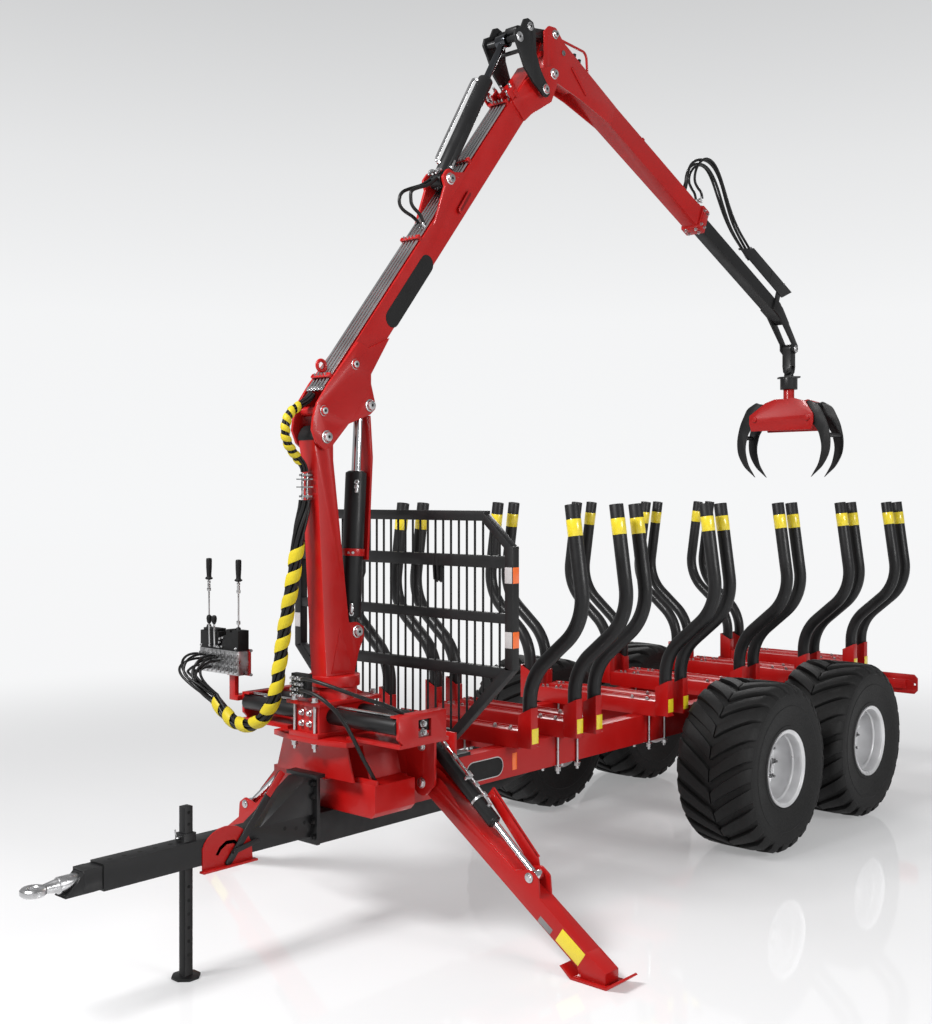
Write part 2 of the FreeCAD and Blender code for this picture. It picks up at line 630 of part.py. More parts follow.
def cylinder(barrel_name, rod_name, x, top, low, side):
    """A stabiliser cylinder in a plane across the trailer, from its upper pin to the rod's eye."""
    run = math.hypot(low[0] - top[0], low[1] - top[1])
    step = ((low[0] - top[0]) / run * side, (low[1] - top[1]) / run)
    upper = (side * top[0], top[1])

    def spot(along):
        return (x, upper[0] + step[0] * along, upper[1] + step[1] * along)

    eye = round_bar(f"{barrel_name}_eye", "x", (f"{x} - 32", upper[0], upper[1]), 36, 64)
    tube = strut(f"{barrel_name}_tube", spot(20), spot(585), 40)
    bore = round_bar(f"{barrel_name}_bore", "x", (f"{x} - 60", upper[0], upper[1]), "pin - 6 + play", 120)
    room = strut(f"{barrel_name}_room", spot(38), spot(600), "20 + play")
    tools = fuse(f"{barrel_name}_holes", bore, room)
    node(cut(barrel_name, fuse(f"{barrel_name}_solid", eye, tube), tools), barrel_name)
    rod = strut(f"{rod_name}_bar", spot(308), spot(run - 10), 20)
    end = round_bar(f"{rod_name}_eye", "x", (f"{x} - 30", spot(run)[1], spot(run)[2]), 30, 60)
    node(fuse(rod_name, rod, end), rod_name)


# ---------------------------------------------------------------- crane

BOOM_FOOT = (2165, 2804)
KNUCKLE = (95, 5360)
LIFT_PIN = (1905, 1690)
LIFT_EYE = (1830, 2998)
STICK_CYLINDER_PIN = (1142, 4446)
LINK_PIVOT = (243, 5210)
LINK_ROD_PIN = (520, 5488)
LINK_TOP_PIN = (411, 5585)
STICK_EAR = (53, 5647)
STICK_SLOPE = math.radians(24)
STICK_AXIS = (95, 5571)
TIP = (-3460, 3796)


def boom_point(along, up):
    """A point beside the line from the boom's foot pin to the knuckle pin; up is the pipe side."""
    run = math.hypot(KNUCKLE[0] - BOOM_FOOT[0], KNUCKLE[1] - BOOM_FOOT[1])
    cos = (KNUCKLE[0] - BOOM_FOOT[0]) / run
    sin = (KNUCKLE[1] - BOOM_FOOT[1]) / run
    return (BOOM_FOOT[0] + along * cos + up * sin, BOOM_FOOT[1] + along * sin - up * cos)


def stick_point(along, up):
    """A point beside the middle line of the stick, counted from above the knuckle."""
    cos, sin = -math.cos(STICK_SLOPE), -math.sin(STICK_SLOPE)
    return (STICK_AXIS[0] + along * cos + up * sin, STICK_AXIS[1] + along * sin - up * cos)


def column():
    outline = [(1930, 1450), (2141, 1450), (2215, 2674), (2240, 2804), (2205, 2868), (2125, 2868),
               (2090, 2804), (2089, 2676), (1971, 1765)]
    tower = plate("column_tower", "XZ", outline, "2 * column_half", 0,
                  holes=[(*BOOM_FOOT, "pin + play")], radii={4: 34, 5: 34})
    room = plate("column_room", "XZ", [(1960, 1466), (2126, 1466), (2198, 2670), (2105, 2670),
                                       (1988, 1765)], "2 * column_half - 24")
    lug = [(1975, 1450), (1975, 1745), (1905, 1745), (1852, 1715), (1850, 1660), (1895, 1560),
           (1925, 1450)]
    lugs = [plate(f"column_lug_{n + 1}", "XZ", lug, 16, f"({n}) * (column_half - 8)") for n in (-1, 1)]
    ring = round_bar("column_ring", "z", ("slew_x", 0, 1390), 146, 62)
    pin = round_bar("lift_pin", "y", (LIFT_PIN[0], "-column_half - 22", LIFT_PIN[1]), "pin",
                    "2 * column_half + 44")
    node(fuse("crane_column", cut("column_box", tower, room), *lugs, ring, pin), "crane_column")
    clamp = plate("hose_clamp_block", "XZ", [(2202, 2452), (2284, 2452), (2284, 2604), (2211.5, 2604)],
                  88)
    node(clamp, "hose_clamp")


def lift_cylinder():
    run = math.hypot(LIFT_EYE[0] - LIFT_PIN[0], LIFT_EYE[1] - LIFT_PIN[1])
    step = ((LIFT_EYE[0] - LIFT_PIN[0]) / run, (LIFT_EYE[1] - LIFT_PIN[1]) / run)

    def spot(along, y=0):
        return (LIFT_PIN[0] + step[0] * along, y, LIFT_PIN[1] + step[1] * along)

    eye = round_bar("lift_barrel_eye", "y", (LIFT_PIN[0], -45, LIFT_PIN[1]), 50, 90)
    tube = strut("lift_barrel_tube", spot(80), spot(912), 62)
    neck = strut("lift_barrel_neck", spot(0), spot(90), 40)
    bore = round_bar("lift_barrel_bore", "y", (LIFT_PIN[0], -80, LIFT_PIN[1]), "pin + play", 160)
    room = strut("lift_barrel_room", spot(660), spot(930), "28 + 2 * play")
    solid = fuse("lift_barrel_solid", eye, tube, neck)
    node(cut("lift_barrel", solid, fuse("lift_barrel_holes", bore, room)), "lift_barrel")
    rod = strut("lift_rod_bar", spot(770), spot(run - 20), 28)
    end = round_bar("lift_rod_eye", "y", (LIFT_EYE[0], -45, LIFT_EYE[1]), 46, 90)
    bottom, knee, top = spot(410), spot(1010), spot(run - 55)
    guard = plate("lift_guard", "XZ",
                  [(bottom[0] - 86, bottom[2]), (bottom[0] - 70, bottom[2]), (knee[0] - 70, knee[2]),
                   (spot(run)[0] - 34, top[2]), (spot(run)[0] - 50, top[2]), (knee[0] - 86, knee[2])],
                  96)
    stop = round_bar("lift_guard_root", "y", (spot(run - 50)[0] - 28, -40, spot(run - 50)[2]), 24, 80)
    node(fuse("lift_rod", rod, end, guard, stop), "lift_rod")


BOOM_LOW = -8


def boom():
    high = BOOM_LOW + val("boom_height")
    length = math.hypot(KNUCKLE[0] - BOOM_FOOT[0], KNUCKLE[1] - BOOM_FOOT[1])
    tube_points = [boom_point(a, u) for a, u in
                   ((300, BOOM_LOW), (300, high), (length - 96, high), (length - 96, BOOM_LOW))]
    foot = [(2141, 3113), (2231, 2993), (2261, 2907), (2270, 2842), (2238, 2769),
            (2178, 2728), (2128, 2747), (1995, 2884), (1826, 2945), (1785, 2980),
            (1790, 3028), (1819, 3125), (1819, 3180), boom_point(779, BOOM_LOW),
            boom_point(617, 76), boom_point(587, high - 4)]
    bracket = [boom_point(a, u) for a, u in
               ((1960, 292), (1880, 292), (1850, 240), (1720, 196), (1600, high - 8),
                (2080, high - 8), (1985, 235))]
    head = [boom_point(a, u) for a, u in
            ((2790, BOOM_LOW + 4), (2882, -20), (3120, -105), (3250, -75), (length + 44, -34),
             (length + 44, 34), (3240, 92), (3010, high - 4), (2790, high - 4))]
    pieces = [shell("boom_tube", "XZ", tube_points, "2 * boom_half")]
    middle = "boom_half + plate / 2"
    for n in (-1, 1):
        offset = f"({n}) * ({middle})"
        pieces.append(plate(f"boom_foot_{n + 1}", "XZ", foot, "plate", offset, radii={4: 30, 5: 30}))
        pieces.append(plate(f"cylinder_bracket_{n + 1}", "XZ", bracket, "plate", offset,
                            radii={0: 28, 1: 28}))
        pieces.append(plate(f"boom_head_{n + 1}", "XZ", head, "plate", offset, radii={4: 30, 5: 30}))
        start = "boom_half - 20" if n > 0 else "-boom_half - plate - 22"
        pieces.append(round_bar(f"rod_boss_{n + 1}", "y", (LIFT_EYE[0], start, LIFT_EYE[1]), "pin",
                                "plate + 42"))
    for name, spot, reach in (("foot_pin", BOOM_FOOT, 22), ("stick_cylinder_pin", STICK_CYLINDER_PIN, 22),
                              ("link_pin", LINK_PIVOT, 60), ("knuckle_pin", KNUCKLE, 22),
                              ("tie_pin", (2185, 2950), 14), ("upper_tie_pin", (1946, 3229), 14)):
        pieces.append(round_bar(name, "y", (spot[0], f"-boom_half - plate - {reach}", spot[1]), "pin",
                                f"2 * (boom_half + plate + {reach})"))
    node(fuse("boom", *pieces), "boom")


def boom_pipes():
    high = BOOM_LOW + val("boom_height")
    pipes = []
    for number in range(5):
        y = -56 + 28 * number
        start, end = boom_point(185, high + 11), boom_point(2790, high + 11)
        pipes.append(strut(f"pipe_{number}", (start[0], y, start[1]), (end[0], y, end[1]), 9))
    clamps = []
    for number, along in enumerate((300, 1448, 2170, 2760)):
        points = [boom_point(a, u) for a, u in
                  ((along - 16, high), (along + 16, high), (along + 16, high + 30),
                   (along - 16, high + 30))]
        clamps.append(plate(f"pipe_clamp_{number}", "XZ", points, 146))
    node(fuse("boom_pipes", *pipes, *clamps), "boom_pipes")


def stick_cylinder():
    run = math.hypot(LINK_ROD_PIN[0] - STICK_CYLINDER_PIN[0], LINK_ROD_PIN[1] - STICK_CYLINDER_PIN[1])
    step = ((LINK_ROD_PIN[0] - STICK_CYLINDER_PIN[0]) / run,
            (LINK_ROD_PIN[1] - STICK_CYLINDER_PIN[1]) / run)

    def spot(along):
        return (STICK_CYLINDER_PIN[0] + step[0] * along, 0, STICK_CYLINDER_PIN[1] + step[1] * along)

    eye = round_bar("stick_barrel_eye", "y", (STICK_CYLINDER_PIN[0], -46, STICK_CYLINDER_PIN[1]), 46, 92)
    tube = strut("stick_barrel_tube", spot(20), spot(850), 51)
    bore = round_bar("stick_barrel_bore", "y", (STICK_CYLINDER_PIN[0], -90, STICK_CYLINDER_PIN[1]),
                     "pin + play", 180)
    room = strut("stick_barrel_room", spot(170), spot(880), "23 + play")
    solid = fuse("stick_barrel_solid", eye, tube)
    node(cut("stick_barrel", solid, fuse("stick_barrel_holes", bore, room)), "stick_barrel")
    rod = strut("stick_rod_bar", spot(430), spot(run - 20), 23)
    end = round_bar("stick_rod_eye", "y", (LINK_ROD_PIN[0], -40, LINK_ROD_PIN[1]), 44, 80)
    node(fuse("stick_rod", rod, end), "stick_rod")


def knuckle_links():
    outline = [(431, 5636), (378, 5622), (352, 5560), (345, 5430), (300, 5330), (210, 5230),
               (198, 5185), (225, 5160), (262, 5160), (374, 5225), (463, 5300), (530, 5414),
               (575, 5480), (560, 5530), (500, 5560), (470, 5620)]
    links = [plate(f"knuckle_link_{n + 1}", "XZ", outline, 16, f"({n}) * (boom_half + plate + 40)",
                   holes=[(*LINK_PIVOT, "pin + play"), (*LINK_TOP_PIN, "20 + play")],
                   radii={0: 20, 6: 16, 12: 20}) for n in (-1, 1)]
    spacer = [round_bar(f"link_spacer_{n + 1}", "y",
                        (LINK_ROD_PIN[0], 46 if n > 0 else -127, LINK_ROD_PIN[1]), 24, 81)
              for n in (-1, 1)]
    sides = [fuse(f"knuckle_side_{n + 1}", link, bar) for n, (link, bar) in enumerate(zip(links, spacer))]
    tie = round_bar("link_tie", "y", (470, -127, 5420), 14, 254)
    node(fuse("knuckle_links", *sides, tie), "knuckle_links")


def push_link():
    along = math.hypot(STICK_EAR[0] - LINK_TOP_PIN[0], STICK_EAR[1] - LINK_TOP_PIN[1])
    ux = (STICK_EAR[0] - LINK_TOP_PIN[0]) / along
    uz = (STICK_EAR[1] - LINK_TOP_PIN[1]) / along

    def spot(a, u):
        return (LINK_TOP_PIN[0] + ux * a - uz * u, LINK_TOP_PIN[1] + uz * a + ux * u)

    outline = [spot(a, u) for a, u in ((-34, -30), (-34, 30), (along + 30, 30), (along + 30, -30))]
    bar = plate("push_bar", "XZ", outline, 96, radii={0: 24, 1: 24, 2: 24, 3: 24})
    pin = round_bar("push_pin", "y", (LINK_TOP_PIN[0], -150, LINK_TOP_PIN[1]), 20, 300)
    node(fuse("push_link", bar, pin), "push_link")


def stick():
    half, wall = val("stick_height") / 2, val("wall")
    tube_points = [stick_point(a, u) for a, u in
                   ((20, -half), (20, half), (2200, half), (2200, -half))]
    outer = plate("stick_tube", "XZ", tube_points, "2 * stick_half")
    bore_points = [stick_point(a, u) for a, u in
                   ((130, -half + wall), (130, half - wall), (2300, half - wall), (2300, -half + wall))]
    bore = plate("stick_bore", "XZ", bore_points, "2 * stick_half - 2 * wall")
    pieces = [cut("stick_hollow", outer, bore)]
    head = [(171, 5640), (176, 5400), (150, 5330), (95, 5300), (40, 5322), stick_point(420, -half - 58),
            stick_point(800, -half + 3), stick_point(800, half - 3), stick_point(110, half + 20),
            (40, 5697), (120, 5690)]
    for n in (-1, 1):
        pieces.append(plate(f"stick_head_{n + 1}", "XZ", head, 7, f"({n}) * (stick_half + 1)",
                            holes=[(*KNUCKLE, "pin + play")], radii={3: 30, 9: 30, 10: 30}))
    hub = round_bar("stick_hub", "y", (KNUCKLE[0], -66, KNUCKLE[1]), 52, 132)
    web = plate("stick_web", "XZ", [(150, 5400), (150, 5480), stick_point(300, -half + 4),
                                    stick_point(360, -half - 40), (60, 5350)], 90)
    collar_points = [stick_point(a, u) for a, u in
                     ((2110, -half - 16), (2110, half + 16), (2205, half + 16), (2205, -half - 16))]
    collar = cut("stick_collar", plate("collar_block", "XZ", collar_points, "2 * stick_half + 32"),
                 plate("collar_room", "XZ", bore_points, "2 * stick_half - 2 * wall"))
    hub_bore = round_bar("hub_bore", "y", (KNUCKLE[0], -90, KNUCKLE[1]), "pin + play", 180)
    ear_room = plate("ear_room", "XZ", [(260, 5500), (260, 5760), (-34, 5760), (-34, 5580)], 106)
    body = fuse("stick_solid", *pieces, hub, web, collar)
    trimmed = cut("stick_trimmed", body, fuse("stick_holes", hub_bore, ear_room))
    hoop_path = arc_path([FreeCAD.Vector(x, 0, z) for x, z in
                          ((-20, 5672), (-400, 5655), (-418, 5490))], [50])
    hoop = doc.addObject("Part::Feature", "stick_hoop")
    hoop.Shape = tube_along(hoop_path, 9)
    node(fuse("stick", trimmed, hoop), "stick")


def extension():
    half = val("extension_height") / 2
    box_points = [stick_point(a, u) for a, u in
                  ((1500, -half), (1500, half), (3640, half), (3800, -10), (3740, -half))]
    tube = shell("extension_tube", "XZ", box_points, "2 * extension_half", 0, 9, 9)
    arm = [stick_point(3560, half - 2), stick_point(3700, 0), (TIP[0] - 48, TIP[1] + 30),
           (TIP[0] - 44, TIP[1] - 20), (TIP[0], TIP[1] - 44), (TIP[0] + 44, TIP[1] - 20),
           (TIP[0] + 52, TIP[1] + 40), stick_point(3600, -half + 2), stick_point(3475, -half + 2),
           stick_point(3475, half - 2)]
    arms = [plate(f"extension_arm_{n + 1}", "XZ", arm, 16, f"({n}) * (extension_half + 7)")
            for n in (-1, 1)]
    pin = round_bar("hanger_pin", "y", (TIP[0], -80, TIP[1]), 22, 160)
    node(fuse("extension", tube, *arms, pin), "extension")
    guard_points = [stick_point(a, u) for a, u in
                    ((2780, 124), (2975, 252), (3715, 258), (3580, 124))]
    side = plate("guard_side", "XZ", guard_points, 10, 53)
    top = plate("guard_top", "XZ", [stick_point(a, u) for a, u in
                                    ((2965, 242), (2975, 252), (3715, 258), (3700, 248))], 116)
    post = plate("guard_post", "XZ", [stick_point(a, u) for a, u in
                                      ((3490, half), (3560, half), (3560, 136), (3490, 136))], 10, 44)
    node(fuse("hose_guard", side, top, post), "hose_guard")


def hanger():
    x = "grapple_x"
    swing = block("swing_link_body", (f"{x} - 45", f"{x} + 45"), (-40, 40), (3646, 3790))
    hub = round_bar("swing_link_hub", "y", (x, -40, "hanger_z"), 46, 80)
    lugs = [plate(f"swing_lug_{n + 1}", "YZ", [(-40, 3648), (-30, 3574), (30, 3574), (40, 3648)], 20,
                  f"{x} + ({n}) * 38", radii={1: 20, 2: 20}) for n in (-1, 1)]
    cross_pin = round_bar("cross_pin", "x", (f"{x} - 62", 0, 3603), 18, 124)
    bore = round_bar("swing_bore", "y", (x, -60, "hanger_z"), "22 + play", 120)
    solid = fuse("swing_solid", swing, hub, *lugs, cross_pin)
    node(cut("swing_link", solid, bore), "swing_link")
    eye = plate("rotator_eye", "YZ", [(-36, 3540), (36, 3540), (30, 3636), (-30, 3636)], 46, x,
                radii={2: 28, 3: 28})
    flange = plate("rotator_flange", "XY",
                   [(f"{x} - 60", -60), (f"{x}", -115), (f"{x} + 60", -60), (f"{x} + 60", 60),
                    (f"{x}", 115), (f"{x} - 60", 60)], 14, 3541)
    body = round_bar("rotator_body", "z", (x, 0, 3434), 76, 102)
    eye_bore = round_bar("rotator_eye_bore", "x", (f"{x} - 60", 0, 3603), "18 + play", 120)
    node(cut("rotator", fuse("rotator_solid", eye, flange, body), eye_bore), "rotator")


TINE_PIN = (255, 3165)
TINE_TOP = (246, 3288)
TINE_ARCS = {0: 15, 1: 25, 2: 110, 3: 400, 4: 400, 5: 250, 6: 250, 8: 250, 9: 250, 10: 150, 11: 50,
             12: 20}


def grapple():
    x = "grapple_x"
    outline = [(-60, 3338), (60, 3338), (110, 3350), (237, 3311), (310, 3200), (312, 3130), (290, 3060),
               (-290, 3060), (-312, 3130), (-310, 3200), (-150, 3310)]
    plates = [plate(f"grapple_plate_{n + 1}", "YZ", outline, 12, f"{x} + ({n}) * 152",
                    radii={4: 30, 5: 20, 8: 20, 9: 30}) for n in (-1, 1)]
    roof = plate("grapple_roof", "YZ", [(-60, 3326), (60, 3326), (60, 3340), (-60, 3340)], 304, x)
    neck = round_bar("grapple_neck", "z", (x, 0, 3338), 48, 95.5)
    pins = [round_bar(f"tine_pin_{n + 1}", "x", (f"{x} - 176", n * TINE_PIN[0], TINE_PIN[1]), 24, 352)
            for n in (-1, 1)]
    core = block("grapple_core", (f"{x} - 60", f"{x} + 60"), (-95, 95), (3240, 3330))
    node(fuse("grapple_frame", *plates, roof, neck, *pins, core), "grapple_frame")
    shape = [(225, 3300), (262, 3322), (357, 3270), (429, 3124), (464, 2980), (452, 2848), (385, 2735),
             (280, 2645), (352, 2761), (385, 2905), (352, 3039), (300, 3110), (222, 3130), (215, 3200)]
    for side, label, offset in ((1, "tine_left", 128), (-1, "tine_right", 106)):
        points = [(side * y, z) for y, z in shape]
        blades = [plate(f"{label}_blade_{n + 1}", "YZ", points, "tine_plate", f"{x} + ({n}) * {offset}",
                        holes=[(side * TINE_PIN[0], TINE_PIN[1], "24 + play")], radii=TINE_ARCS)
                  for n in (-1, 1)]
        tie_high = round_bar(f"{label}_tie_high", "x",
                             (f"{x} - {offset}", side * TINE_TOP[0], TINE_TOP[1]), 22, 2 * offset)
        tie_low = round_bar(f"{label}_tie_low", "x", (f"{x} - {offset}", side * 428, 3010), 20, 2 * offset)
        node(fuse(label, *blades, tie_high, tie_low), label)


# ---------------------------------------------------------------- hydraulic hoses

HOSE = 22
VALVE_HOSE = 16
BUNDLE = 84
BOOM_BUNDLE = 56

HOSES = {
    "hose_supply_bundle": (BUNDLE, [
        (2350, -690, 1275), (2358, -560, 1180), (2358, -400, 1142), (2350, -250, 1190),
        (2336, -150, 1320), (2326, -125, 1500), (2318, -98, 1690), (2306, -66, 1870),
        (2294, -36, 2040), (2284, -20, 2190)]),
    "hose_supply_tail": (64, [
        (2284, -20, 2194), (2275, -14, 2280), (2256, -4, 2370), (2248, 0, 2415), (2247, 0, 2449)]),
    "hose_boom_bundle": (BOOM_BUNDLE, [
        (2247, 0, 2608), (2249, 0, 2640), (2318, 0, 2700), (2382, 0, 2775), (2390, 0, 2860),
        (2358, 0, 2935), (2290, 0, 2975), (2222, 0, 3012), (2192, 0, 3049)]),
}
for number, turn in enumerate((0, -120, 120)):
    out = 28 * math.cos(math.radians(turn))
    rise = 28 * math.sin(math.radians(turn))
    row = -970 + 90 * number
    HOSES[f"hose_valve_{number}"] = (VALVE_HOSE, [
        (2236, row, 1480), (2335 - 20 * number, row, 1486),
        (2425 + out - 12 * number, 0.75 * row - 205, 1432 + 0.6 * rise),
        (2420 + out - 10 * number, -765 + 0.59 * rise, 1342 + 0.8 * rise),
        (2350 + out, -690 + 0.59 * rise, 1275 + 0.81 * rise)])
HOSES["hose_base_0"] = (HOSE, [
    (2292, 45, 1450), (2340, 70, 1462), (2352, 160, 1470), (2330, 270, 1450), (2270, 380, 1410),
    (2200, 480, 1370), (2130, 560, 1340), (2080, 615, 1298)])
HOSES["hose_base_1"] = (HOSE, [
    (2292, 20, 1385), (2335, 45, 1398), (2345, 150, 1402), (2330, 260, 1365), (2290, 350, 1280),
    (2245, 400, 1160), (2190, 412, 1050), (2120, 400, 960), (2060, 385, 886)])
HOSES["hose_stick"] = (HOSE, [
    (-1679, 22, 4884), (-1718, 22, 4960), (-1722, 22, 5040), (-1775, 21, 5130), (-1890, 19, 5190),
    (-2040, 16, 5208), (-2165, 12, 5165), (-2265, 9, 5070), (-2350, 6, 4925), (-2450, 3, 4775),
    (-2570, 0, 4672), (-2692, 0, 4580), (-2775, 0, 4518)])


def hoses():
    for label, (width, points) in HOSES.items():
        corners = [FreeCAD.Vector(*point) for point in points]
        radii = []
        for number in range(1, len(corners) - 1):
            back = corners[number - 1] - corners[number]
            ahead = corners[number + 1] - corners[number]
            turn = math.pi - back.getAngle(ahead)
            radii.append(0.45 * min(back.Length, ahead.Length) / math.tan(turn / 2))
        path = arc_path(corners, radii)
        tube = tube_along(path, width / 2)
        expected = math.pi * (width / 2) ** 2 * path.Length
        print(f"{label}: {path.Length:.0f} mm, radii {[round(radius) for radius in radii]},",
              f"volume {tube.Volume / expected:.3f} of section times length")
        feature = doc.addObject("Part::Feature", label)
        feature.Shape = tube
        node(feature, label)


# ---------------------------------------------------------------- the whole trailer

for make in (drawbar, drawbar_inner, tow_eye, jack, handbrake, crane_base, slew_housing,
             rack_cylinders, valve_block, frame_rails, bunks, stake_sockets, stakes, headboard,
             rear_beam, bogie, wheels, legs, column, lift_cylinder, boom, boom_pipes, stick_cylinder,
             knuckle_links, push_link, stick, extension, hanger, grapple, hoses):
    make()

doc.recompute()
faults = [f"{piece.Label}: {piece.State}" for piece in doc.Objects
          if {"Invalid", "Error"} & set(piece.State)]
for piece in NODES:
    if piece.Shape.isNull() or not piece.Shape.isValid() or not piece.Shape.Solids:
        faults.append(f"{piece.Label}: no valid shape")
if faults:
    raise RuntimeError("; ".join(faults))

os.makedirs("parts", exist_ok=True)
for piece in NODES:
    piece.Shape.exportStep(f"parts/{piece.Label}.step")
print(len(NODES), "nodes")
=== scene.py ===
"""A forestry trailer with its crane: paint, castings, hoses, tyres and fasteners around the machine's frame."""
import math

import bmesh
import bpy
from mathutils import Matrix, Vector


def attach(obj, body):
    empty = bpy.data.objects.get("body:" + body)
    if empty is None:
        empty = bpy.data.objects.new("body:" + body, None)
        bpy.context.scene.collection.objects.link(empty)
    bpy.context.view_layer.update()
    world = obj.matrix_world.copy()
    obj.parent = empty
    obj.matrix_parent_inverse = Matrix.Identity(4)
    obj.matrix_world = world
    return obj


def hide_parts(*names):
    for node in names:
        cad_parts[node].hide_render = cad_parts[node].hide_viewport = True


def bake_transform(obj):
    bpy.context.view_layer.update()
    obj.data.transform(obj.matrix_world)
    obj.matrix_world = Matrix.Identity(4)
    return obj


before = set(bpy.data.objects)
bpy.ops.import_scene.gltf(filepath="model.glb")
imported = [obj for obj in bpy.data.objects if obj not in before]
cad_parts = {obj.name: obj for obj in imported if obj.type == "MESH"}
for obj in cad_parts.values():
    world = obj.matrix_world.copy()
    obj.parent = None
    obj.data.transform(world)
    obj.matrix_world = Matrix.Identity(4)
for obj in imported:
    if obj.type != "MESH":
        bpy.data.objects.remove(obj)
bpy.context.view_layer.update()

bl_info = {
    "name": "Forestry Trailer Crane",
    "version": (1, 0, 0),
    "blender": (4, 5, 0),
    "location": "3D View > Sidebar > Timber Trailer",
    "description": "Builds the finish and the small parts of a timber trailer with a loading crane",
    "category": "Object",
}

MM = 0.001


# ---------------------------------------------------------------- settings

def colour_setting(name, description, value):
    return bpy.props.FloatVectorProperty(
        name=name, description=description, subtype="COLOR", size=3, min=0, max=1, default=value)


def length_setting(name, description, low, high, value):
    return bpy.props.FloatProperty(
        name=name, description=description, unit="LENGTH", min=low, max=high, default=value)


class TRAILER_PG_paint(bpy.types.PropertyGroup):
    """Colours of the machine's finishes"""

    red: colour_setting("Red paint", "Gloss paint of the frame and the crane", (0.345, 0.0042, 0.0036))
    black: colour_setting(
        "Black paint", "Satin paint of the stakes, gate and cylinders", (0.0068, 0.0068, 0.0072))
    yellow: colour_setting("Yellow", "Marking bands and hose wrap", (0.74, 0.585, 0.020))
    orange: colour_setting("Orange", "Side reflectors", (0.83, 0.14, 0.012))
    zinc: colour_setting("Zinc", "Plated bolts, pins and fittings", (0.50, 0.50, 0.505))
    tyre: colour_setting("Tyre rubber", "Tread and sidewall rubber", (0.0056, 0.0055, 0.0055))


class TRAILER_PG_sizes(bpy.types.PropertyGroup):
    """Sizes of the parts that repeat"""

    edge: length_setting("Plate edge", "Rounding on the edges of cut plate", 0.0005, 0.006, 0.0022)
    lugs: bpy.props.IntProperty(
        name="Tread lugs", description="Lugs around each side of a tyre", min=12, max=48, default=24)
    bar_step: length_setting("Gate bar step", "Distance between the upright bars of the gate", 0.03, 0.2, 0.062)
    bar_width: length_setting("Gate bar width", "Diameter of an upright bar", 0.006, 0.03, 0.014)
    head: length_setting("Bolt head", "Width across the flats of the common bolt", 0.01, 0.05, 0.024)
    wrap_step: length_setting(
        "Wrap step", "Length of hose bundle for one turn of the yellow wrap", 0.05, 0.3, 0.126)


def paint():
    return bpy.context.scene.trailer_paint


def sizes():
    return bpy.context.scene.trailer_sizes


# ---------------------------------------------------------------- places on the machine

SIDE = Vector((0, 1, 0))
UP = Vector((0, 0, 1))
FORWARD = Vector((1, 0, 0))
BOOM_AXIS, BOOM_UP = Vector((-0.6292, 0, 0.777)), Vector((0.777, 0, 0.629))
STICK_AXIS, STICK_UP = Vector((-0.9135, 0, -0.4067)), Vector((-0.4067, 0, 0.9135))
BOOM = (BOOM_AXIS, SIDE, BOOM_UP)
STICK = (STICK_AXIS, SIDE, STICK_UP)
HANDS = ((1, "left"), (-1, "right"))


def point(x, y, z):
    """A place given in millimetres."""
    return Vector((x, y, z)) * MM


def boom_point(along, up, y=0.0):
    """A point on the boom, from millimetres along its pins and above them; y is in metres."""
    return Vector(((2165 - 0.6292 * along + 0.777 * up) * MM, y, (2804 + 0.777 * along + 0.629 * up) * MM))


def stick_point(along, up, y=0.0):
    """The same on the stick, from the knuckle pin."""
    return Vector(((95 - 0.9135 * along - 0.4067 * up) * MM, y, (5571 - 0.4067 * along + 0.9135 * up) * MM))


def scaled(pairs):
    """Pairs of millimetres as pairs of metres."""
    return [(a * MM, b * MM) for a, b in pairs]


def between(side, one, two):
    """Two distances out from the middle plane on one side, the lower value of y first."""
    return sorted((side * one, side * two))


def disc(radius, depth):
    """The outline of a plain disc for the lathe."""
    return [(0.0, 0.0), (radius, 0.0), (radius, depth), (0.0, depth)]


def collar(bore, outer, depth):
    """The outline of a plain ring for the lathe."""
    return [(bore, 0.0), (outer, 0.0), (outer, depth), (bore, depth)]


def circled(centre, radius, count):
    """Places evenly round a wheel's axle."""
    return [centre + Vector((math.cos(a), 0, math.sin(a))) * radius
            for a in (math.tau * n / count for n in range(count))]


# ---------------------------------------------------------------- materials

def node(tree, kind, settings=(), **inputs):
    """Adds a node. Each input takes a value, or the output that feeds it; _0 is the first input."""
    made = tree.nodes.new(kind)
    for name, value in dict(settings).items():
        setattr(made, name, value)
    feed(tree, made, **inputs)
    return made


def feed(tree, made, **inputs):
    for name, value in inputs.items():
        socket = made.inputs[int(name[1:]) if name[0] == "_" else name.replace("_", " ")]
        if isinstance(value, bpy.types.NodeSocket):
            tree.links.new(value, socket)
        else:
            socket.default_value = value


def fresh_material(name):
    material = bpy.data.materials.new(name)
    material.use_nodes = True
    return material, material.node_tree, material.node_tree.nodes["Principled BSDF"]


def object_noise(tree, scale, detail=3.0):
    where = node(tree, "ShaderNodeTexCoord").outputs["Object"]
    return node(tree, "ShaderNodeTexNoise", Scale=scale, Detail=detail, Vector=where).outputs["Fac"]


def two_tone(tree, fac, colour, low, high, start=0.35, end=0.65):
    """The colour, dimmed by one factor where the texture is dark and lifted by another where it is light."""
    ramp = node(tree, "ShaderNodeValToRGB", Fac=fac)
    for stop, place, factor in zip(ramp.color_ramp.elements, (start, end), (low, high)):
        stop.position = place
        stop.color = (*tinted(colour, factor), 1)
    return ramp.outputs["Color"]


def to_range(tree, fac, low, high):
    return node(tree, "ShaderNodeMapRange", From_Min=0.3, From_Max=0.7, To_Min=low, To_Max=high,
                Value=fac).outputs["Result"]


def raised(tree, height, strength, distance):
    return node(tree, "ShaderNodeBump", Strength=strength, Distance=distance, Height=height).outputs["Normal"]


def tinted(colour, factor):
    return tuple(min(1.0, c * factor) for c in colour)


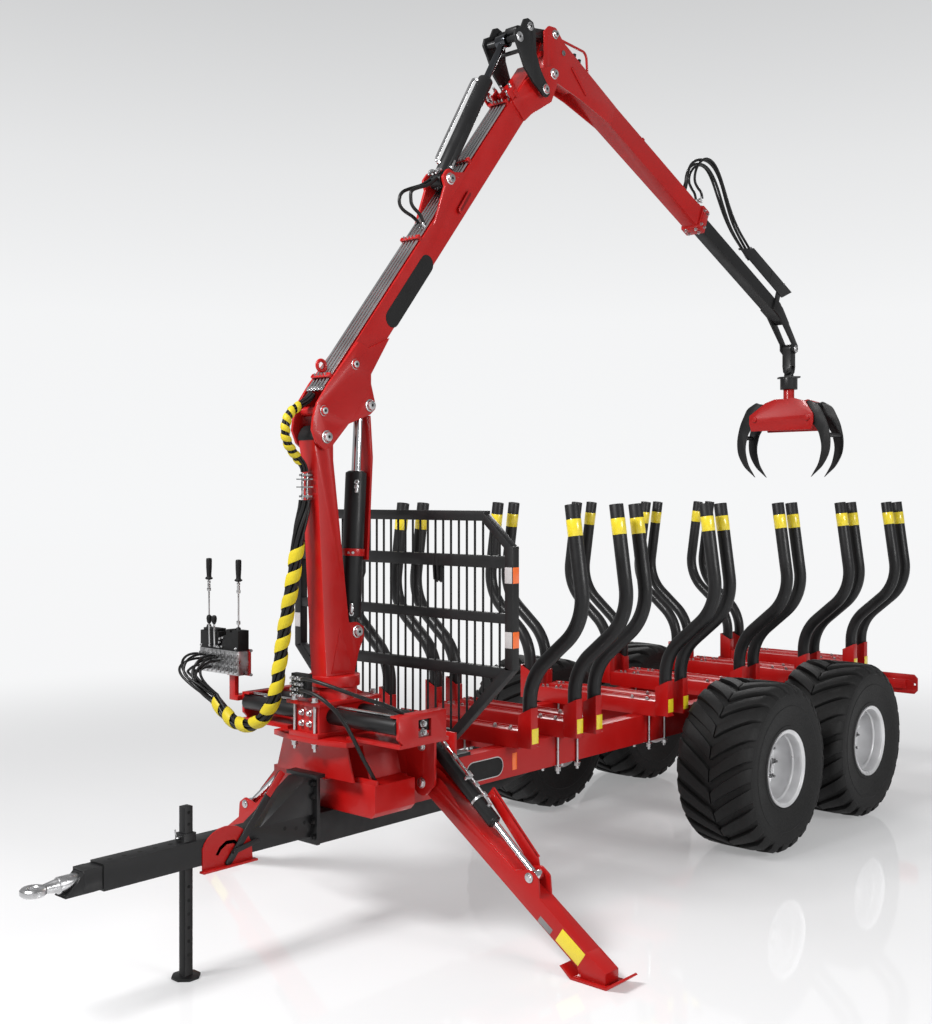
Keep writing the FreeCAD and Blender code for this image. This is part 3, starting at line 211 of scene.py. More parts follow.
def coat_paint(name, colour, roughness, coat, spread=0.06, peel=0.12):
    """Sprayed paint: a slow change of tone, orange peel, and dust that dulls the gloss in patches."""
    material, tree, shader = fresh_material(name)
    feed(tree, shader,
         Base_Color=two_tone(tree, object_noise(tree, 2.4, 4), colour, 1 - spread, 1 + spread),
         Roughness=to_range(tree, object_noise(tree, 9.0, 6), roughness * 0.82, roughness * 1.22),
         Normal=raised(tree, object_noise(tree, 260.0, 2), peel, 0.0006),
         Specular_IOR_Level=0.28, Coat_Weight=coat, Coat_Roughness=0.08)
    return material


def plated(name, colour, roughness, scale=60.0, metallic=1.0):
    """Bare or plated metal with a faint spangle."""
    material, tree, shader = fresh_material(name)
    spangle = object_noise(tree, scale, 3)
    feed(tree, shader,
         Base_Color=two_tone(tree, spangle, colour, 0.84, 1.1),
         Roughness=to_range(tree, spangle, roughness * 0.75, roughness * 1.3),
         Normal=raised(tree, object_noise(tree, 90.0, 2), 0.03, 0.0003), Metallic=metallic)
    return material


def rubber_skin(name, colour, roughness, scale=90.0, depth=0.25, dust=0.5):
    """Moulded rubber: fine pores, and pale dust that gathers in patches."""
    material, tree, shader = fresh_material(name)
    pores = object_noise(tree, scale, 4)
    feed(tree, shader,
         Base_Color=two_tone(tree, object_noise(tree, 5.0, 7), colour, 0.85, 1 + dust, 0.4, 0.75),
         Roughness=to_range(tree, pores, roughness * 0.88, roughness * 1.1),
         Normal=raised(tree, pores, depth, 0.0008), Specular_IOR_Level=0.3)
    return material


def reflex(name, colour):
    """Reflector film: a fine honeycomb under a clear face."""
    material, tree, shader = fresh_material(name)
    where = node(tree, "ShaderNodeTexCoord")
    cells = node(tree, "ShaderNodeTexVoronoi", Scale=320.0, Vector=where.outputs["Object"]).outputs["Distance"]
    feed(tree, shader, Base_Color=two_tone(tree, cells, colour, 1.08, 0.86, 0.1, 0.6),
         Normal=raised(tree, cells, 0.15, 0.0004), Roughness=0.28, Coat_Weight=0.5, Coat_Roughness=0.1)
    return material


# Each finish: the frame's slot, its maker, its colour (a setting's name or its own), a tint, and the rest.
FINISHES = {
    "gloss red paint": ("red", coat_paint, "red", 1, 0.36, 0.16),
    # Shaded red paint is the red darkened to 0.42: painted shade for the hollow in the boom's ridge.
    "shaded red paint": ("red", coat_paint, "red", 0.42, 0.4, 0.1),
    "satin black paint": ("black", coat_paint, "black", 1, 0.44, 0.08, 0.12),
    "black casting": ("black", coat_paint, "black", 0.62, 0.55, 0.0, 0.2, 0.5),
    # Near-black discs that paint the shade inside holes which are not cut.
    "dark hollow": ("black", coat_paint, (0.006, 0.006, 0.006), 1, 0.8, 0.0),
    "grey plastic": ("dark", coat_paint, (0.19, 0.18, 0.18), 1, 0.5, 0.0, 0.1, 0.3),
    "yellow wrap": ("rubber", coat_paint, "yellow", 0.66, 0.5, 0.0, 0.1, 0.3),
    "yellow marking": ("dark", reflex, "yellow", 1),
    "orange lens": ("dark", reflex, "orange", 1),
    "pale lens": ("dark", reflex, (0.42, 0.40, 0.40), 1),
    "zinc plate": ("zinc", plated, "zinc", 1.1, 0.3, 18.0),
    "dull steel": ("steel", plated, "zinc", 0.5, 0.46, 30.0),
    "drawn steel": ("steel", plated, "zinc", 1.25, 0.2, 3.0),
    # Chrome given a dark grey colour: the dark reflection the rod shows is painted into its colour.
    "dark rod": ("chrome", plated, (0.09, 0.094, 0.102), 1, 0.16, 2.5),
    "hard chrome": ("chrome", plated, (0.78, 0.79, 0.81), 1, 0.14, 2.5),
    "rim lacquer": ("silver", plated, (0.70, 0.70, 0.71), 1, 0.34, 4.0, 0.45),
    "tyre rubber": ("tyre", rubber_skin, "tyre", 1, 0.66),
    "hose rubber": ("rubber", rubber_skin, "tyre", 1, 0.42, 240.0, 0.2, 0.25),
}
MATERIALS = {}


def finish_called(name):
    """The material of that name, made the first time it is asked for."""
    if name not in MATERIALS:
        _, maker, colour, tint, *rest = FINISHES[name]
        if isinstance(colour, str):
            colour = getattr(paint(), colour)
        MATERIALS[name] = maker(name.replace(" ", "_"), tinted(colour, tint), *rest)
    return MATERIALS[name]


# ---------------------------------------------------------------- mesh work

def sharpened(thing, degrees=32):
    for face in thing.data.polygons:
        face.use_smooth = True
    thing.data.set_sharp_from_angle(angle=math.radians(degrees))


def settle(thing, material, body, nodes=()):
    """Gives a finished piece its material and its place in the machine."""
    thing.data.materials.clear()
    thing.data.materials.append(finish_called(material))
    if body:
        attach(thing, body)
    if nodes:
        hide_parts(*nodes)
    return thing


def placed(mesh, name):
    thing = bpy.data.objects.new(name, mesh)
    bpy.context.scene.collection.objects.link(thing)
    return thing


def meshed(work, name):
    """The object that holds a finished bmesh."""
    mesh = bpy.data.meshes.new(name)
    work.to_mesh(mesh)
    work.free()
    return placed(mesh, name)


def evaluated_mesh(thing):
    graph = bpy.context.evaluated_depsgraph_get()
    graph.update()
    return bpy.data.meshes.new_from_object(thing.evaluated_get(graph))


def baked(thing):
    """The object's evaluated mesh in place of its modifiers."""
    mesh = evaluated_mesh(thing)
    thing.modifiers.clear()
    old, thing.data = thing.data, mesh
    bpy.data.meshes.remove(old)


def with_edges(thing, width, degrees=34):
    """Rounds the edges of a piece and keeps its flat faces flat."""
    bevel = thing.modifiers.new("rounded edges", "BEVEL")
    bevel.width = width
    bevel.segments = 2
    bevel.limit_method = "ANGLE"
    bevel.angle_limit = math.radians(degrees)
    bevel.harden_normals = False
    bevel.use_clamp_overlap = True
    baked(thing)
    sharpened(thing, 40)


def refined(name, material, body):
    """A node's solid with rounded plate edges and a real finish."""
    work = bmesh.new()
    work.from_mesh(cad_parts[name].data)
    bmesh.ops.remove_doubles(work, verts=work.verts, dist=0.00002)
    bmesh.ops.dissolve_limit(work, angle_limit=math.radians(0.6), verts=work.verts, edges=work.edges)
    thing = meshed(work, name + "_made")
    with_edges(thing, sizes().edge)
    settle(thing, material, body, (name,))


def prism(mesh, one, two):
    """Joins two matching outlines of corners into a closed solid."""
    one, two = ([mesh.verts.new(corner) for corner in corners] for corners in (one, two))
    faces = [mesh.faces.new(one), mesh.faces.new(two[::-1])]
    for n in range(len(one)):
        m = (n + 1) % len(one)
        faces.append(mesh.faces.new((one[n], two[n], two[m], one[m])))
    bmesh.ops.recalc_face_normals(mesh, faces=faces)


class Workpiece:
    """Shapes gathered in one mesh, in metres. Leaving its with block makes the piece."""

    def __init__(self, name, material, body, width=None, nodes=()):
        self.mesh = bmesh.new()
        self.name, self.material, self.body, self.width, self.nodes = name, material, body, width, nodes

    def __enter__(self):
        return self

    def __exit__(self, problem, *_):
        if not problem:
            self.done()

    def done(self):
        thing = meshed(self.mesh, self.name)
        if self.width:
            with_edges(thing, self.width)
        else:
            sharpened(thing)
        return settle(thing, self.material, self.body, self.nodes)

    def _turn(self, verts, start, axis):
        turn = UP.rotation_difference(Vector(axis).normalized()).to_matrix().to_4x4()
        bmesh.ops.transform(self.mesh, matrix=Matrix.Translation(start) @ turn, verts=verts)

    def bar(self, start, end, radius, sides=24, top=None):
        """A round bar or a cone between two points."""
        start, end = Vector(start), Vector(end)
        run = end - start
        made = bmesh.ops.create_cone(self.mesh, cap_ends=True, segments=sides, radius1=radius,
                                     radius2=radius if top is None else top, depth=run.length)
        self._turn(made["verts"], (start + end) / 2, run)

    def post(self, x, y, low, high, radius, sides=24, top=None):
        """An upright bar, placed in millimetres."""
        self.bar(point(x, y, low), point(x, y, high), radius, sides, top)

    def block(self, low, high):
        low, high = Vector(low), Vector(high)
        self.slab((low + high) / 2, (FORWARD, SIDE, UP), high - low)

    def slab(self, centre, axes, size):
        """A box with its own three axes."""
        made = bmesh.ops.create_cube(self.mesh, size=1)
        turn = Matrix(axes).transposed().to_4x4()
        bmesh.ops.transform(self.mesh, matrix=Matrix.Translation(centre) @ turn @ Matrix.Diagonal((*size, 1)),
                            verts=made["verts"])

    def plate(self, outline, low, high):
        """A flat outline of (x, z) pairs in metres between two values of y."""
        prism(self.mesh, [(x, low, z) for x, z in outline], [(x, high, z) for x, z in outline])

    def across(self, outline, low, high):
        """A flat outline of (y, z) pairs in metres between two values of x."""
        prism(self.mesh, [(low, y, z) for y, z in outline], [(high, y, z) for y, z in outline])

    def lathe(self, centre, axis, outline, steps=40):
        """Turns a closed outline of (radius, along) pairs in metres."""
        rings = [[self.mesh.verts.new((r * math.cos(angle), r * math.sin(angle), a)) for r, a in outline]
                 for angle in (math.tau * n / steps for n in range(steps))]
        faces = []
        for n in range(steps):
            one, two = rings[n], rings[(n + 1) % steps]
            for m in range(len(outline)):
                k = (m + 1) % len(outline)
                faces.append(self.mesh.faces.new((one[m], one[k], two[k], two[m])))
        bmesh.ops.recalc_face_normals(self.mesh, faces=faces)
        self._turn([v for ring in rings for v in ring], Vector(centre), axis)

    def tube(self, spots, radius, sides=10, closed=False):
        """A bent rod through the spots."""
        rings, count, normal = [], len(spots), None
        for n, spot in enumerate(spots):
            before = spots[n - 1] if n or closed else spot
            after = spots[(n + 1) % count] if n < count - 1 or closed else spot
            along = (Vector(after) - Vector(before)).normalized()
            if normal is None:
                normal = along.orthogonal().normalized()
            normal = (normal - along * normal.dot(along)).normalized()
            other = along.cross(normal)
            ways = [math.cos(a) * normal + math.sin(a) * other
                    for a in (math.tau * k / sides for k in range(sides))]
            rings.append([self.mesh.verts.new(Vector(spot) + radius * way) for way in ways])
        faces = []
        for n in range(count if closed else count - 1):
            one, two = rings[n], rings[(n + 1) % count]
            for k in range(sides):
                m = (k + 1) % sides
                faces.append(self.mesh.faces.new((one[k], one[m], two[m], two[k])))
        if not closed:
            faces += [self.mesh.faces.new(rings[0][::-1]), self.mesh.faces.new(rings[-1])]
        bmesh.ops.recalc_face_normals(self.mesh, faces=faces)


# ---------------------------------------------------------------- geometry node trees

def new_tree(name, **sockets):
    """A tree that takes geometry, the named inputs and a material."""
    tree = bpy.data.node_groups.new(name, "GeometryNodeTree")
    for way in ("INPUT", "OUTPUT"):
        tree.interface.new_socket(name="Geometry", in_out=way, socket_type="NodeSocketGeometry")
    for label, (kind, value) in dict(sockets, Material=("Material", None)).items():
        item = tree.interface.new_socket(name=label.replace("_", " "), in_out="INPUT",
                                         socket_type="NodeSocket" + kind)
        if value is not None:
            item.default_value = value
    return tree, node(tree, "NodeGroupInput").outputs


def close_tree(tree, inputs, **copies):
    """Every tree ends in instances on points, as plain geometry with its material."""
    spread = node(tree, "GeometryNodeInstanceOnPoints", **copies)
    real = node(tree, "GeometryNodeRealizeInstances", Geometry=spread.outputs["Instances"])
    finish = node(tree, "GeometryNodeSetMaterial", Geometry=real.outputs["Geometry"],
                  Material=inputs["Material"])
    node(tree, "NodeGroupOutput", Geometry=finish.outputs["Geometry"])
    return tree


def maths(tree, operation, one, two):
    return node(tree, "ShaderNodeMath", {"operation": operation}, _0=one, _1=two).outputs[0]


def stored(tree, name, kind="FLOAT"):
    """The attribute of that name on the points."""
    return node(tree, "GeometryNodeInputNamedAttribute", {"data_type": kind}, Name=name).outputs["Attribute"]


def bolt_tree():
    """A hexagon head on a washer, with the thread's end, at every point, turned to the point's axis."""
    tree, inputs = new_tree("bolt rows", Head_Width=("Float", 0.024), Head_Height=("Float", 0.012),
                            Washer=("Float", 0.02), Thread=("Float", 0.012))
    joined = node(tree, "GeometryNodeJoinGeometry")

    def lifted(radius, depth, sides, height):
        shape = node(tree, "GeometryNodeMeshCylinder", Vertices=sides, Radius=radius, Depth=depth)
        lift = node(tree, "ShaderNodeCombineXYZ", Z=height)
        move = node(tree, "GeometryNodeTransform", Geometry=shape.outputs["Mesh"],
                    Translation=lift.outputs["Vector"])
        tree.links.new(move.outputs["Geometry"], joined.inputs["Geometry"])

    width, height = inputs["Head Width"], inputs["Head Height"]
    flat = maths(tree, "MULTIPLY", inputs["Washer"], 0.18)
    stub = maths(tree, "MAXIMUM", inputs["Thread"], 0.0002)
    lifted(maths(tree, "MULTIPLY", width, 0.577), height, 6,
           maths(tree, "ADD", flat, maths(tree, "MULTIPLY", height, 0.5)))
    lifted(inputs["Washer"], flat, 20, maths(tree, "MULTIPLY", flat, 0.5))
    lifted(maths(tree, "MULTIPLY", width, 0.3), stub, 12,
           maths(tree, "ADD", maths(tree, "ADD", flat, height), maths(tree, "MULTIPLY", stub, 0.5)))
    turn = node(tree, "FunctionNodeAlignRotationToVector", {"axis": "Z"},
                Vector=stored(tree, "axis", "FLOAT_VECTOR"))
    return close_tree(tree, inputs, Points=inputs["Geometry"], Instance=joined.outputs["Geometry"],
                      Rotation=turn.outputs["Rotation"], Scale=stored(tree, "size"))


def ring_tree():
    """One shape repeated evenly about an axle that runs along Y."""
    tree, inputs = new_tree("ring of shapes", Shape=("Object", None), Count=("Int", 24),
                            Centre=("Vector", (0, 0, 0)))
    source = node(tree, "GeometryNodeObjectInfo", {"transform_space": "ORIGINAL"}, Object=inputs["Shape"])
    spots = node(tree, "GeometryNodePoints", Count=inputs["Count"], Position=inputs["Centre"])
    index = node(tree, "GeometryNodeInputIndex")
    share = maths(tree, "DIVIDE", index.outputs["Index"], inputs["Count"])
    turn = node(tree, "ShaderNodeCombineXYZ", Y=maths(tree, "MULTIPLY", share, math.tau))
    return close_tree(tree, inputs, Points=spots.outputs[0], Instance=source.outputs["Geometry"],
                      Rotation=turn.outputs["Vector"])


def row_tree():
    """Upright round bars, each as tall as its point's size says."""
    tree, inputs = new_tree("row of bars", Bar_Width=("Float", 0.014), Bar_Length=("Float", 1.0))
    bar = node(tree, "GeometryNodeMeshCylinder", Vertices=14, Depth=inputs["Bar Length"],
               Radius=maths(tree, "MULTIPLY", inputs["Bar Width"], 0.5))
    reach = node(tree, "ShaderNodeCombineXYZ", X=1.0, Y=1.0, Z=stored(tree, "size"))
    return close_tree(tree, inputs, Points=inputs["Geometry"], Instance=bar.outputs["Mesh"],
                      Scale=reach.outputs["Vector"])


TREES = {}


def grown_from(maker, name, spots, material, body, degrees, **values):
    """Runs a tree on points of (place, axis, size) and settles the plain mesh."""
    if maker not in TREES:
        TREES[maker] = maker()
    tree = TREES[maker]
    mesh = bpy.data.meshes.new(name)
    mesh.from_pydata([tuple(s[0]) for s in spots], [], [])
    mesh.attributes.new("axis", "FLOAT_VECTOR", "POINT")
    mesh.attributes.new("size", "FLOAT", "POINT")
    axis, size = mesh.attributes["axis"], mesh.attributes["size"]
    for n, (_, way, scale) in enumerate(spots):
        axis.data[n].vector = tuple(way)
        size.data[n].value = scale
    thing = placed(mesh, name)
    modifier = thing.modifiers.new(tree.name, "NODES")
    modifier.node_group = tree
    values["Material"] = finish_called(material)
    for item in tree.interface.items_tree:
        if item.item_type == "SOCKET" and item.in_out == "INPUT" and item.name.replace(" ", "_") in values:
            modifier[item.identifier] = values[item.name.replace(" ", "_")]
    baked(thing)
    sharpened(thing, degrees)
    settle(thing, material, body)


def bolts(name, spots, body, material, head, washer, thread=0.4, height=0.55):
    """Bolt heads at (place, axis, size) spots in one piece."""
    grown_from(bolt_tree, name, spots, material, body, 30, Head_Width=head, Head_Height=head * height,
               Washer=washer or head * 0.86, Thread=head * thread)


# ---------------------------------------------------------------- hoses

def hose_line(name, spots, fineness=14):
    """Points along the smooth line that a hose takes through its control points."""
    curve = bpy.data.curves.new(name + "_line", "CURVE")
    curve.dimensions = "3D"
    curve.resolution_u = fineness
    spline = curve.splines.new("NURBS")
    spline.points.add(len(spots) - 1)
    for spot, place in zip(spline.points, spots):
        spot.co = (*(Vector(place) * MM), 1)
    spline.order_u = 3
    spline.use_endpoint_u = True
    thing = placed(curve, name + "_line")
    mesh = evaluated_mesh(thing)
    line = [v.co.copy() for v in mesh.vertices]
    bpy.data.meshes.remove(mesh)
    bpy.data.objects.remove(thing)
    bpy.data.curves.remove(curve)
    return line


class Line:
    """A hose's line with a steady pair of sideways directions."""

    def __init__(self, spots):
        self.spots = spots
        self.at, self.frames, normal = [0.0], [], None
        for one, two in zip(spots, spots[1:]):
            self.at.append(self.at[-1] + (two - one).length)
        self.length = self.at[-1]
        for n in range(len(spots)):
            along = (spots[min(n + 1, len(spots) - 1)] - spots[max(n - 1, 0)]).normalized()
            normal = (along.orthogonal() if normal is None else normal - along * normal.dot(along)).normalized()
            self.frames.append((normal, along.cross(normal)))

    def spot(self, reach, out=0.0, angle=0.0):
        """The place at a distance along the line, off to one side of it."""
        reach = min(max(reach, 0.0), self.length)
        n = next((k for k in range(1, len(self.at)) if self.at[k] >= reach), len(self.at) - 1)
        share = (reach - self.at[n - 1]) / max(self.at[n] - self.at[n - 1], 1e-9)
        side, other = (one.lerp(two, share) for one, two in zip(self.frames[n - 1], self.frames[n]))
        centre = self.spots[n - 1].lerp(self.spots[n], share)
        return centre + out * (math.cos(angle) * side + math.sin(angle) * other)


HOSE_ROUTES = {
    "hose_supply_bundle": [
        (2350, -690, 1275), (2358, -560, 1180), (2358, -400, 1142), (2350, -250, 1190), (2336, -150, 1320),
        (2326, -125, 1500), (2318, -98, 1690), (2306, -66, 1870), (2294, -36, 2040), (2284, -20, 2190),
        (2275, -14, 2280), (2256, -4, 2370), (2248, 0, 2415), (2247, 0, 2449)],
    "hose_boom_bundle": [
        (2247, 0, 2608), (2249, 0, 2640), (2318, 0, 2700), (2382, 0, 2775), (2390, 0, 2860),
        (2358, 0, 2935), (2290, 0, 2975), (2222, 0, 3012), (2192, 0, 3049)],
    "hose_base_0": [
        (2292, 45, 1450), (2340, 70, 1462), (2352, 160, 1470), (2330, 270, 1450), (2270, 380, 1410),
        (2200, 480, 1370), (2130, 560, 1340), (2080, 615, 1298)],
    "hose_base_1": [
        (2292, 20, 1385), (2335, 45, 1398), (2345, 150, 1402), (2330, 260, 1365), (2290, 350, 1280),
        (2245, 400, 1160), (2190, 412, 1050), (2120, 400, 960), (2060, 385, 886)],
    "hose_stick": [
        (-1679, 22, 4884), (-1718, 22, 4960), (-1722, 22, 5040), (-1775, 21, 5130), (-1890, 19, 5190),
        (-2040, 16, 5208), (-2165, 12, 5165), (-2265, 9, 5070), (-2350, 6, 4925), (-2450, 3, 4775),
        (-2570, 0, 4672), (-2692, 0, 4580), (-2775, 0, 4518)],
}
STICK_LOOPS = {
    "stick_loop_0": [
        (-1679, -8, 4884), (-1742, -8, 4962), (-1750, -8, 5034), (-1800, -9, 5112), (-1900, -9, 5162),
        (-2030, -10, 5178), (-2140, -12, 5140), (-2240, -14, 5045), (-2330, -16, 4905), (-2440, -20, 4760),
        (-2565, -22, 4655), (-2692, -22, 4570), (-2775, -22, 4508)],
    "stick_loop_1": [
        (-1934, 30, 4876), (-1925, 30, 4925), (-1860, 32, 4950), (-1806, 34, 4995), (-1822, 34, 5080),
        (-1890, 32, 5165), (-2000, 28, 5222), (-2120, 26, 5208), (-2215, 24, 5130), (-2300, 24, 5000),
        (-2400, 22, 4850), (-2530, 22, 4712), (-2692, 24, 4600), (-2775, 24, 4535)],
    "stick_loop_2": [
        (-1934, -30, 4876), (-1925, -30, 4925), (-1866, -32, 4960), (-1830, -34, 5010), (-1850, -34, 5080),
        (-1915, -34, 5140), (-2010, -36, 5180), (-2110, -38, 5165), (-2195, -38, 5095), (-2290, -38, 4960),
        (-2395, -38, 4815), (-2530, -38, 4690), (-2692, -38, 4590), (-2775, -38, 4528)],
}
for hose, turn in enumerate((0, -120, 120)):
    out = 28 * math.cos(math.radians(turn))
    rise = 28 * math.sin(math.radians(turn))
    row = -970 + 90 * hose
    HOSE_ROUTES[f"hose_valve_{hose}"] = [
        (2236, row, 1480), (2335 - 20 * hose, row, 1486),
        (2425 + out - 12 * hose, 0.75 * row - 205, 1432 + 0.6 * rise),
        (2420 + out - 10 * hose, -765 + 0.59 * rise, 1342 + 0.8 * rise),
        (2350 + out, -690 + 0.59 * rise, 1275 + 0.81 * rise)]


def strands(work, line, radius, out):
    """Six hoses laid round each other and a core, all along one line."""
    lay, count = 5.0, 6
    steps = max(12, int(line.length / 0.016))
    reaches = [line.length * n / steps for n in range(steps + 1)]
    for strand in range(count):
        start = math.tau * strand / count
        work.tube([line.spot(reach, out, start + lay * reach) for reach in reaches], radius, 12)
    work.tube([line.spot(reach) for reach in reaches], out - radius * 0.72, 12)


def wrap_band(name, line, radius, first, last, step, width, lean=1):
    """The yellow ribbon wound round a bundle of hoses."""
    half = step * width / 2
    turns = (last - first) / step
    count = int(turns * 30)
    work = bmesh.new()
    rows = []
    for n in range(count + 1):
        angle = lean * math.tau * turns * n / count
        middle = first + (last - first) * n / count
        rows.append([work.verts.new(line.spot(middle + across, radius - 0.0035 * (across / half) ** 4, angle))
                     for across in ((m / 3 - 1) * half for m in range(7))])
    for one, two in zip(rows, rows[1:]):
        for m in range(6):
            work.faces.new((one[m], one[m + 1], two[m + 1], two[m]))
    bmesh.ops.recalc_face_normals(work, faces=work.faces)
    thing = meshed(work, name)
    wall = thing.modifiers.new("wall", "SOLIDIFY")
    wall.thickness = 0.0022
    wall.offset = 0
    baked(thing)
    sharpened(thing, 50)
    return settle(thing, "yellow wrap", None)


def cord(name, body, fill, nodes=(), pieces=(), ends=None):
    """Makes a hose in place of its node; where ends is given (only whether it is given is read), the hose and
    its pieces get their places baked into their meshes.
    """
    work = Workpiece(name + "_made", "hose rubber", body, nodes=nodes or (name,))
    fill(work)
    thing = work.done()
    if ends:
        for part in (thing, *pieces):
            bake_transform(part)


class TRAILER_OT_hoses(bpy.types.Operator):
    """Lays the hydraulic hoses, with the yellow wrap on the two bundles"""

    bl_idname = "trailer.hoses"
    bl_label = "Hoses"

    def execute(self, context):
        lines = {name: Line(hose_line(name, spots)) for name, spots in HOSE_ROUTES.items()}
        line = lines["hose_supply_bundle"]
        wrap = wrap_band("supply_wrap", line, 0.0405, 0.05, line.length - 0.26, sizes().wrap_step, 0.58)
        cord("hose_supply_bundle", None, lambda work: strands(work, line, 0.0115, 0.0245),
             ("hose_supply_bundle", "hose_supply_tail"), (wrap,),
             ("chassis", "column", (2.340, -0.18, 1.26), (2.306, -0.066, 1.87)))
        arch = lines["hose_boom_bundle"]
        wrap = wrap_band("boom_wrap", arch, 0.0272, 0.075, 0.475, sizes().wrap_step * 0.42, 0.60, -1)
        cord("hose_boom_bundle", None, lambda work: strands(work, arch, 0.0076, 0.0163),
             (), (wrap,), ("column", "boom", (2.249, 0, 2.63), (2.215, 0, 3.03)))
        for name in ("hose_valve_0", "hose_valve_1", "hose_valve_2", "hose_base_0", "hose_base_1"):
            width = 0.016 if "valve" in name else 0.022
            cord(name, "chassis",
                 lambda work: work.tube(lines[name].spots, width / 2, 16))
        bend = ("stick", "extension", (-1.72, 0.022, 4.97), (-2.60, 0, 4.65))
        cord("hose_stick", None,
             lambda work: work.tube(lines["hose_stick"].spots, 0.011, 16), ends=bend)
        for name, spots in STICK_LOOPS.items():
            loop = Workpiece(name, "hose rubber", None)
            loop.tube(hose_line(name, spots, 10), 0.0105, 12)
            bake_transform(loop.done())
        return {"FINISHED"}


# ---------------------------------------------------------------- painted steel

LEFT_AND_RIGHT = ("left", "right")
PLATEWORK = {
    "gloss red paint": {
        "chassis": ("crane_base", "slew_housing", "frame_rails", "bunk_beams", "stake_sockets", "rear_beam",
                    "valve_stand"),
        "column": ("crane_column",), "boom": ("boom",), "stick": ("stick",), "grapple": ("grapple_frame",),
        **{f"leg_{name}": (f"leg_{name}",) for name in LEFT_AND_RIGHT}},
    "satin black paint": {
        "chassis": ("drawbar", "drawbar_inner_tube", "rack_cylinders", "bogie_axle", "bogie_beam_left",
                    "bogie_beam_right", "stakes"),
        "jack": ("jack_leg",), "lift_barrel": ("lift_barrel",), "stick_barrel": ("stick_barrel",),
        "knuckle_links": ("knuckle_links",), "push_link": ("push_link",),
        "extension": ("extension", "hose_guard"),
        "swing_link": ("swing_link",), "rotator": ("rotator",),
        **{f"tine_{name}": (f"tine_{name}",) for name in LEFT_AND_RIGHT},
        **{f"leg_barrel_{name}": (f"leg_barrel_{name}",) for name in LEFT_AND_RIGHT}},
    "zinc plate": {"chassis": ("tow_eye",)},
    "hard chrome": {f"leg_rod_{name}": (f"leg_rod_{name}",) for name in LEFT_AND_RIGHT},
}


class TRAILER_OT_steel(bpy.types.Operator):
    """Rounds the edges of the welded and turned steel, and paints it"""

    bl_idname = "trailer.steel"
    bl_label = "Welded steel"

    def execute(self, context):
        for material, bodies in PLATEWORK.items():
            for body, names in bodies.items():
                for name in names:
                    refined(name, material, body)
        return {"FINISHED"}


# ---------------------------------------------------------------- running gear

WHEELS = {"front_left": (-1052, 1), "rear_left": (-2393, 1), "front_right": (-1052, -1),
          "rear_right": (-2393, -1)}
HUB_HEIGHT = 590
WHEEL_REACH = 968
RIM_OUTLINE = (
    (42.05, -20), (42.05, 110), (84, 110), (84, 64), (120, 60), (200, 66), (222, 112), (229, 176), (224, 182),
    (224, 194), (231, 202), (234, 240), (240, 262), (258, 266), (266, 273), (267, 262), (256, 250), (247, 228),
    (242, 170), (238, -170), (247, -228), (256, -250), (267, -262), (266, -273), (240, -262), (228, -180),
    (220, 36), (198, 48), (120, 42), (84, 36), (84, -20))
CASING_OUTSIDE = (
    (258, -226), (264, -258), (272, -266), (292, -268), (296, -264), (318, -266), (350, -271), (392, -280),
    (430, -286), (436, -283), (470, -287), (500, -287), (520, -283), (529, -272), (541, -254), (549, -236),
    (556, -178), (559, -120), (562, -60))
CASING_INSIDE = ((555, 110), (547, 206), (524, 246), (492, 262), (432, 262), (340, 238), (258, 214))


def tyre_profile(along):
    """Radius of the carcass under the lugs, at a distance from the tyre's middle, in millimetres."""
    if along < 120:
        return 562 - 3 * (along / 120) ** 2
    if along < 236:
        return 559 - 10 * ((along - 120) / 116) ** 2
    if along < 272:
        return 549 - 20 * (along - 236) / 36
    return 529


def lug_top(along):
    """The same for the top of a lug."""
    if along < 120:
        return 590
    return 590 - 7 * (along - 120) / 116 if along < 236 else 583 - 30 * (along - 236) / 36


def lug_object(side):
    """One lug of the tread, curved from the middle over the shoulder, about the Y axis."""
    work = bmesh.new()
    rows = []

    def row(corners, along, angle):
        rows.append([work.verts.new((radius * MM * math.sin(angle + turn), side * y * MM,
                                     radius * MM * math.cos(angle + turn)))
                     for (turn, radius), y in zip(corners, along)])

    for n in range(13):
        share = n / 12
        along = 4 + 268 * share
        width = (0.044 + 0.010 * share) / 0.57
        low, high = tyre_profile(along) - 6, lug_top(along) - 1.5
        row(((-width, low), (-width * 0.86, high), (width * 0.86, high), (width, low)), [along] * 4,
            -0.33 * share ** 0.85)
    row(((-0.094, 505), (-0.082, 512), (0.082, 512), (0.094, 505)), (286, 289.5, 289.5, 286), -0.345)
    for one, two in zip(rows, rows[1:]):
        for m in range(3):
            work.faces.new((one[m], one[m + 1], two[m + 1], two[m]))
        work.faces.new((one[3], one[0], two[0], two[3]))
    work.faces.new(rows[0][::-1])
    work.faces.new(rows[-1])
    bmesh.ops.recalc_face_normals(work, faces=work.faces)
    thing = meshed(work, "lug")
    with_edges(thing, 0.004, 30)
    return thing


def tyre(place, body, centre, side):
    """The casing with its beads, ribs and plain sidewalls, and a ring of lugs on either shoulder."""
    outer = [*CASING_OUTSIDE, (562, 0), *((r, -a) for r, a in reversed(CASING_OUTSIDE))]
    inner = [CASING_INSIDE[-1], *reversed(CASING_INSIDE[:-1]), *((r, -a) for r, a in CASING_INSIDE)]
    with Workpiece(f"tyre_{place}_casing", "tyre rubber", body, nodes=(f"tyre_{place}",)) as work:
        work.lathe(centre, SIDE, scaled(outer + inner), 96)
    for hand in (1, -1):
        lug = lug_object(hand)
        grown_from(ring_tree, f"tyre_{place}_lugs_{'outer' if hand * side > 0 else 'inner'}",
                   [((0, 0, 0), UP, 1.0)], "tyre rubber", body, 40,
                   Shape=lug, Count=sizes().lugs, Centre=tuple(centre))
        bpy.data.objects.remove(lug)


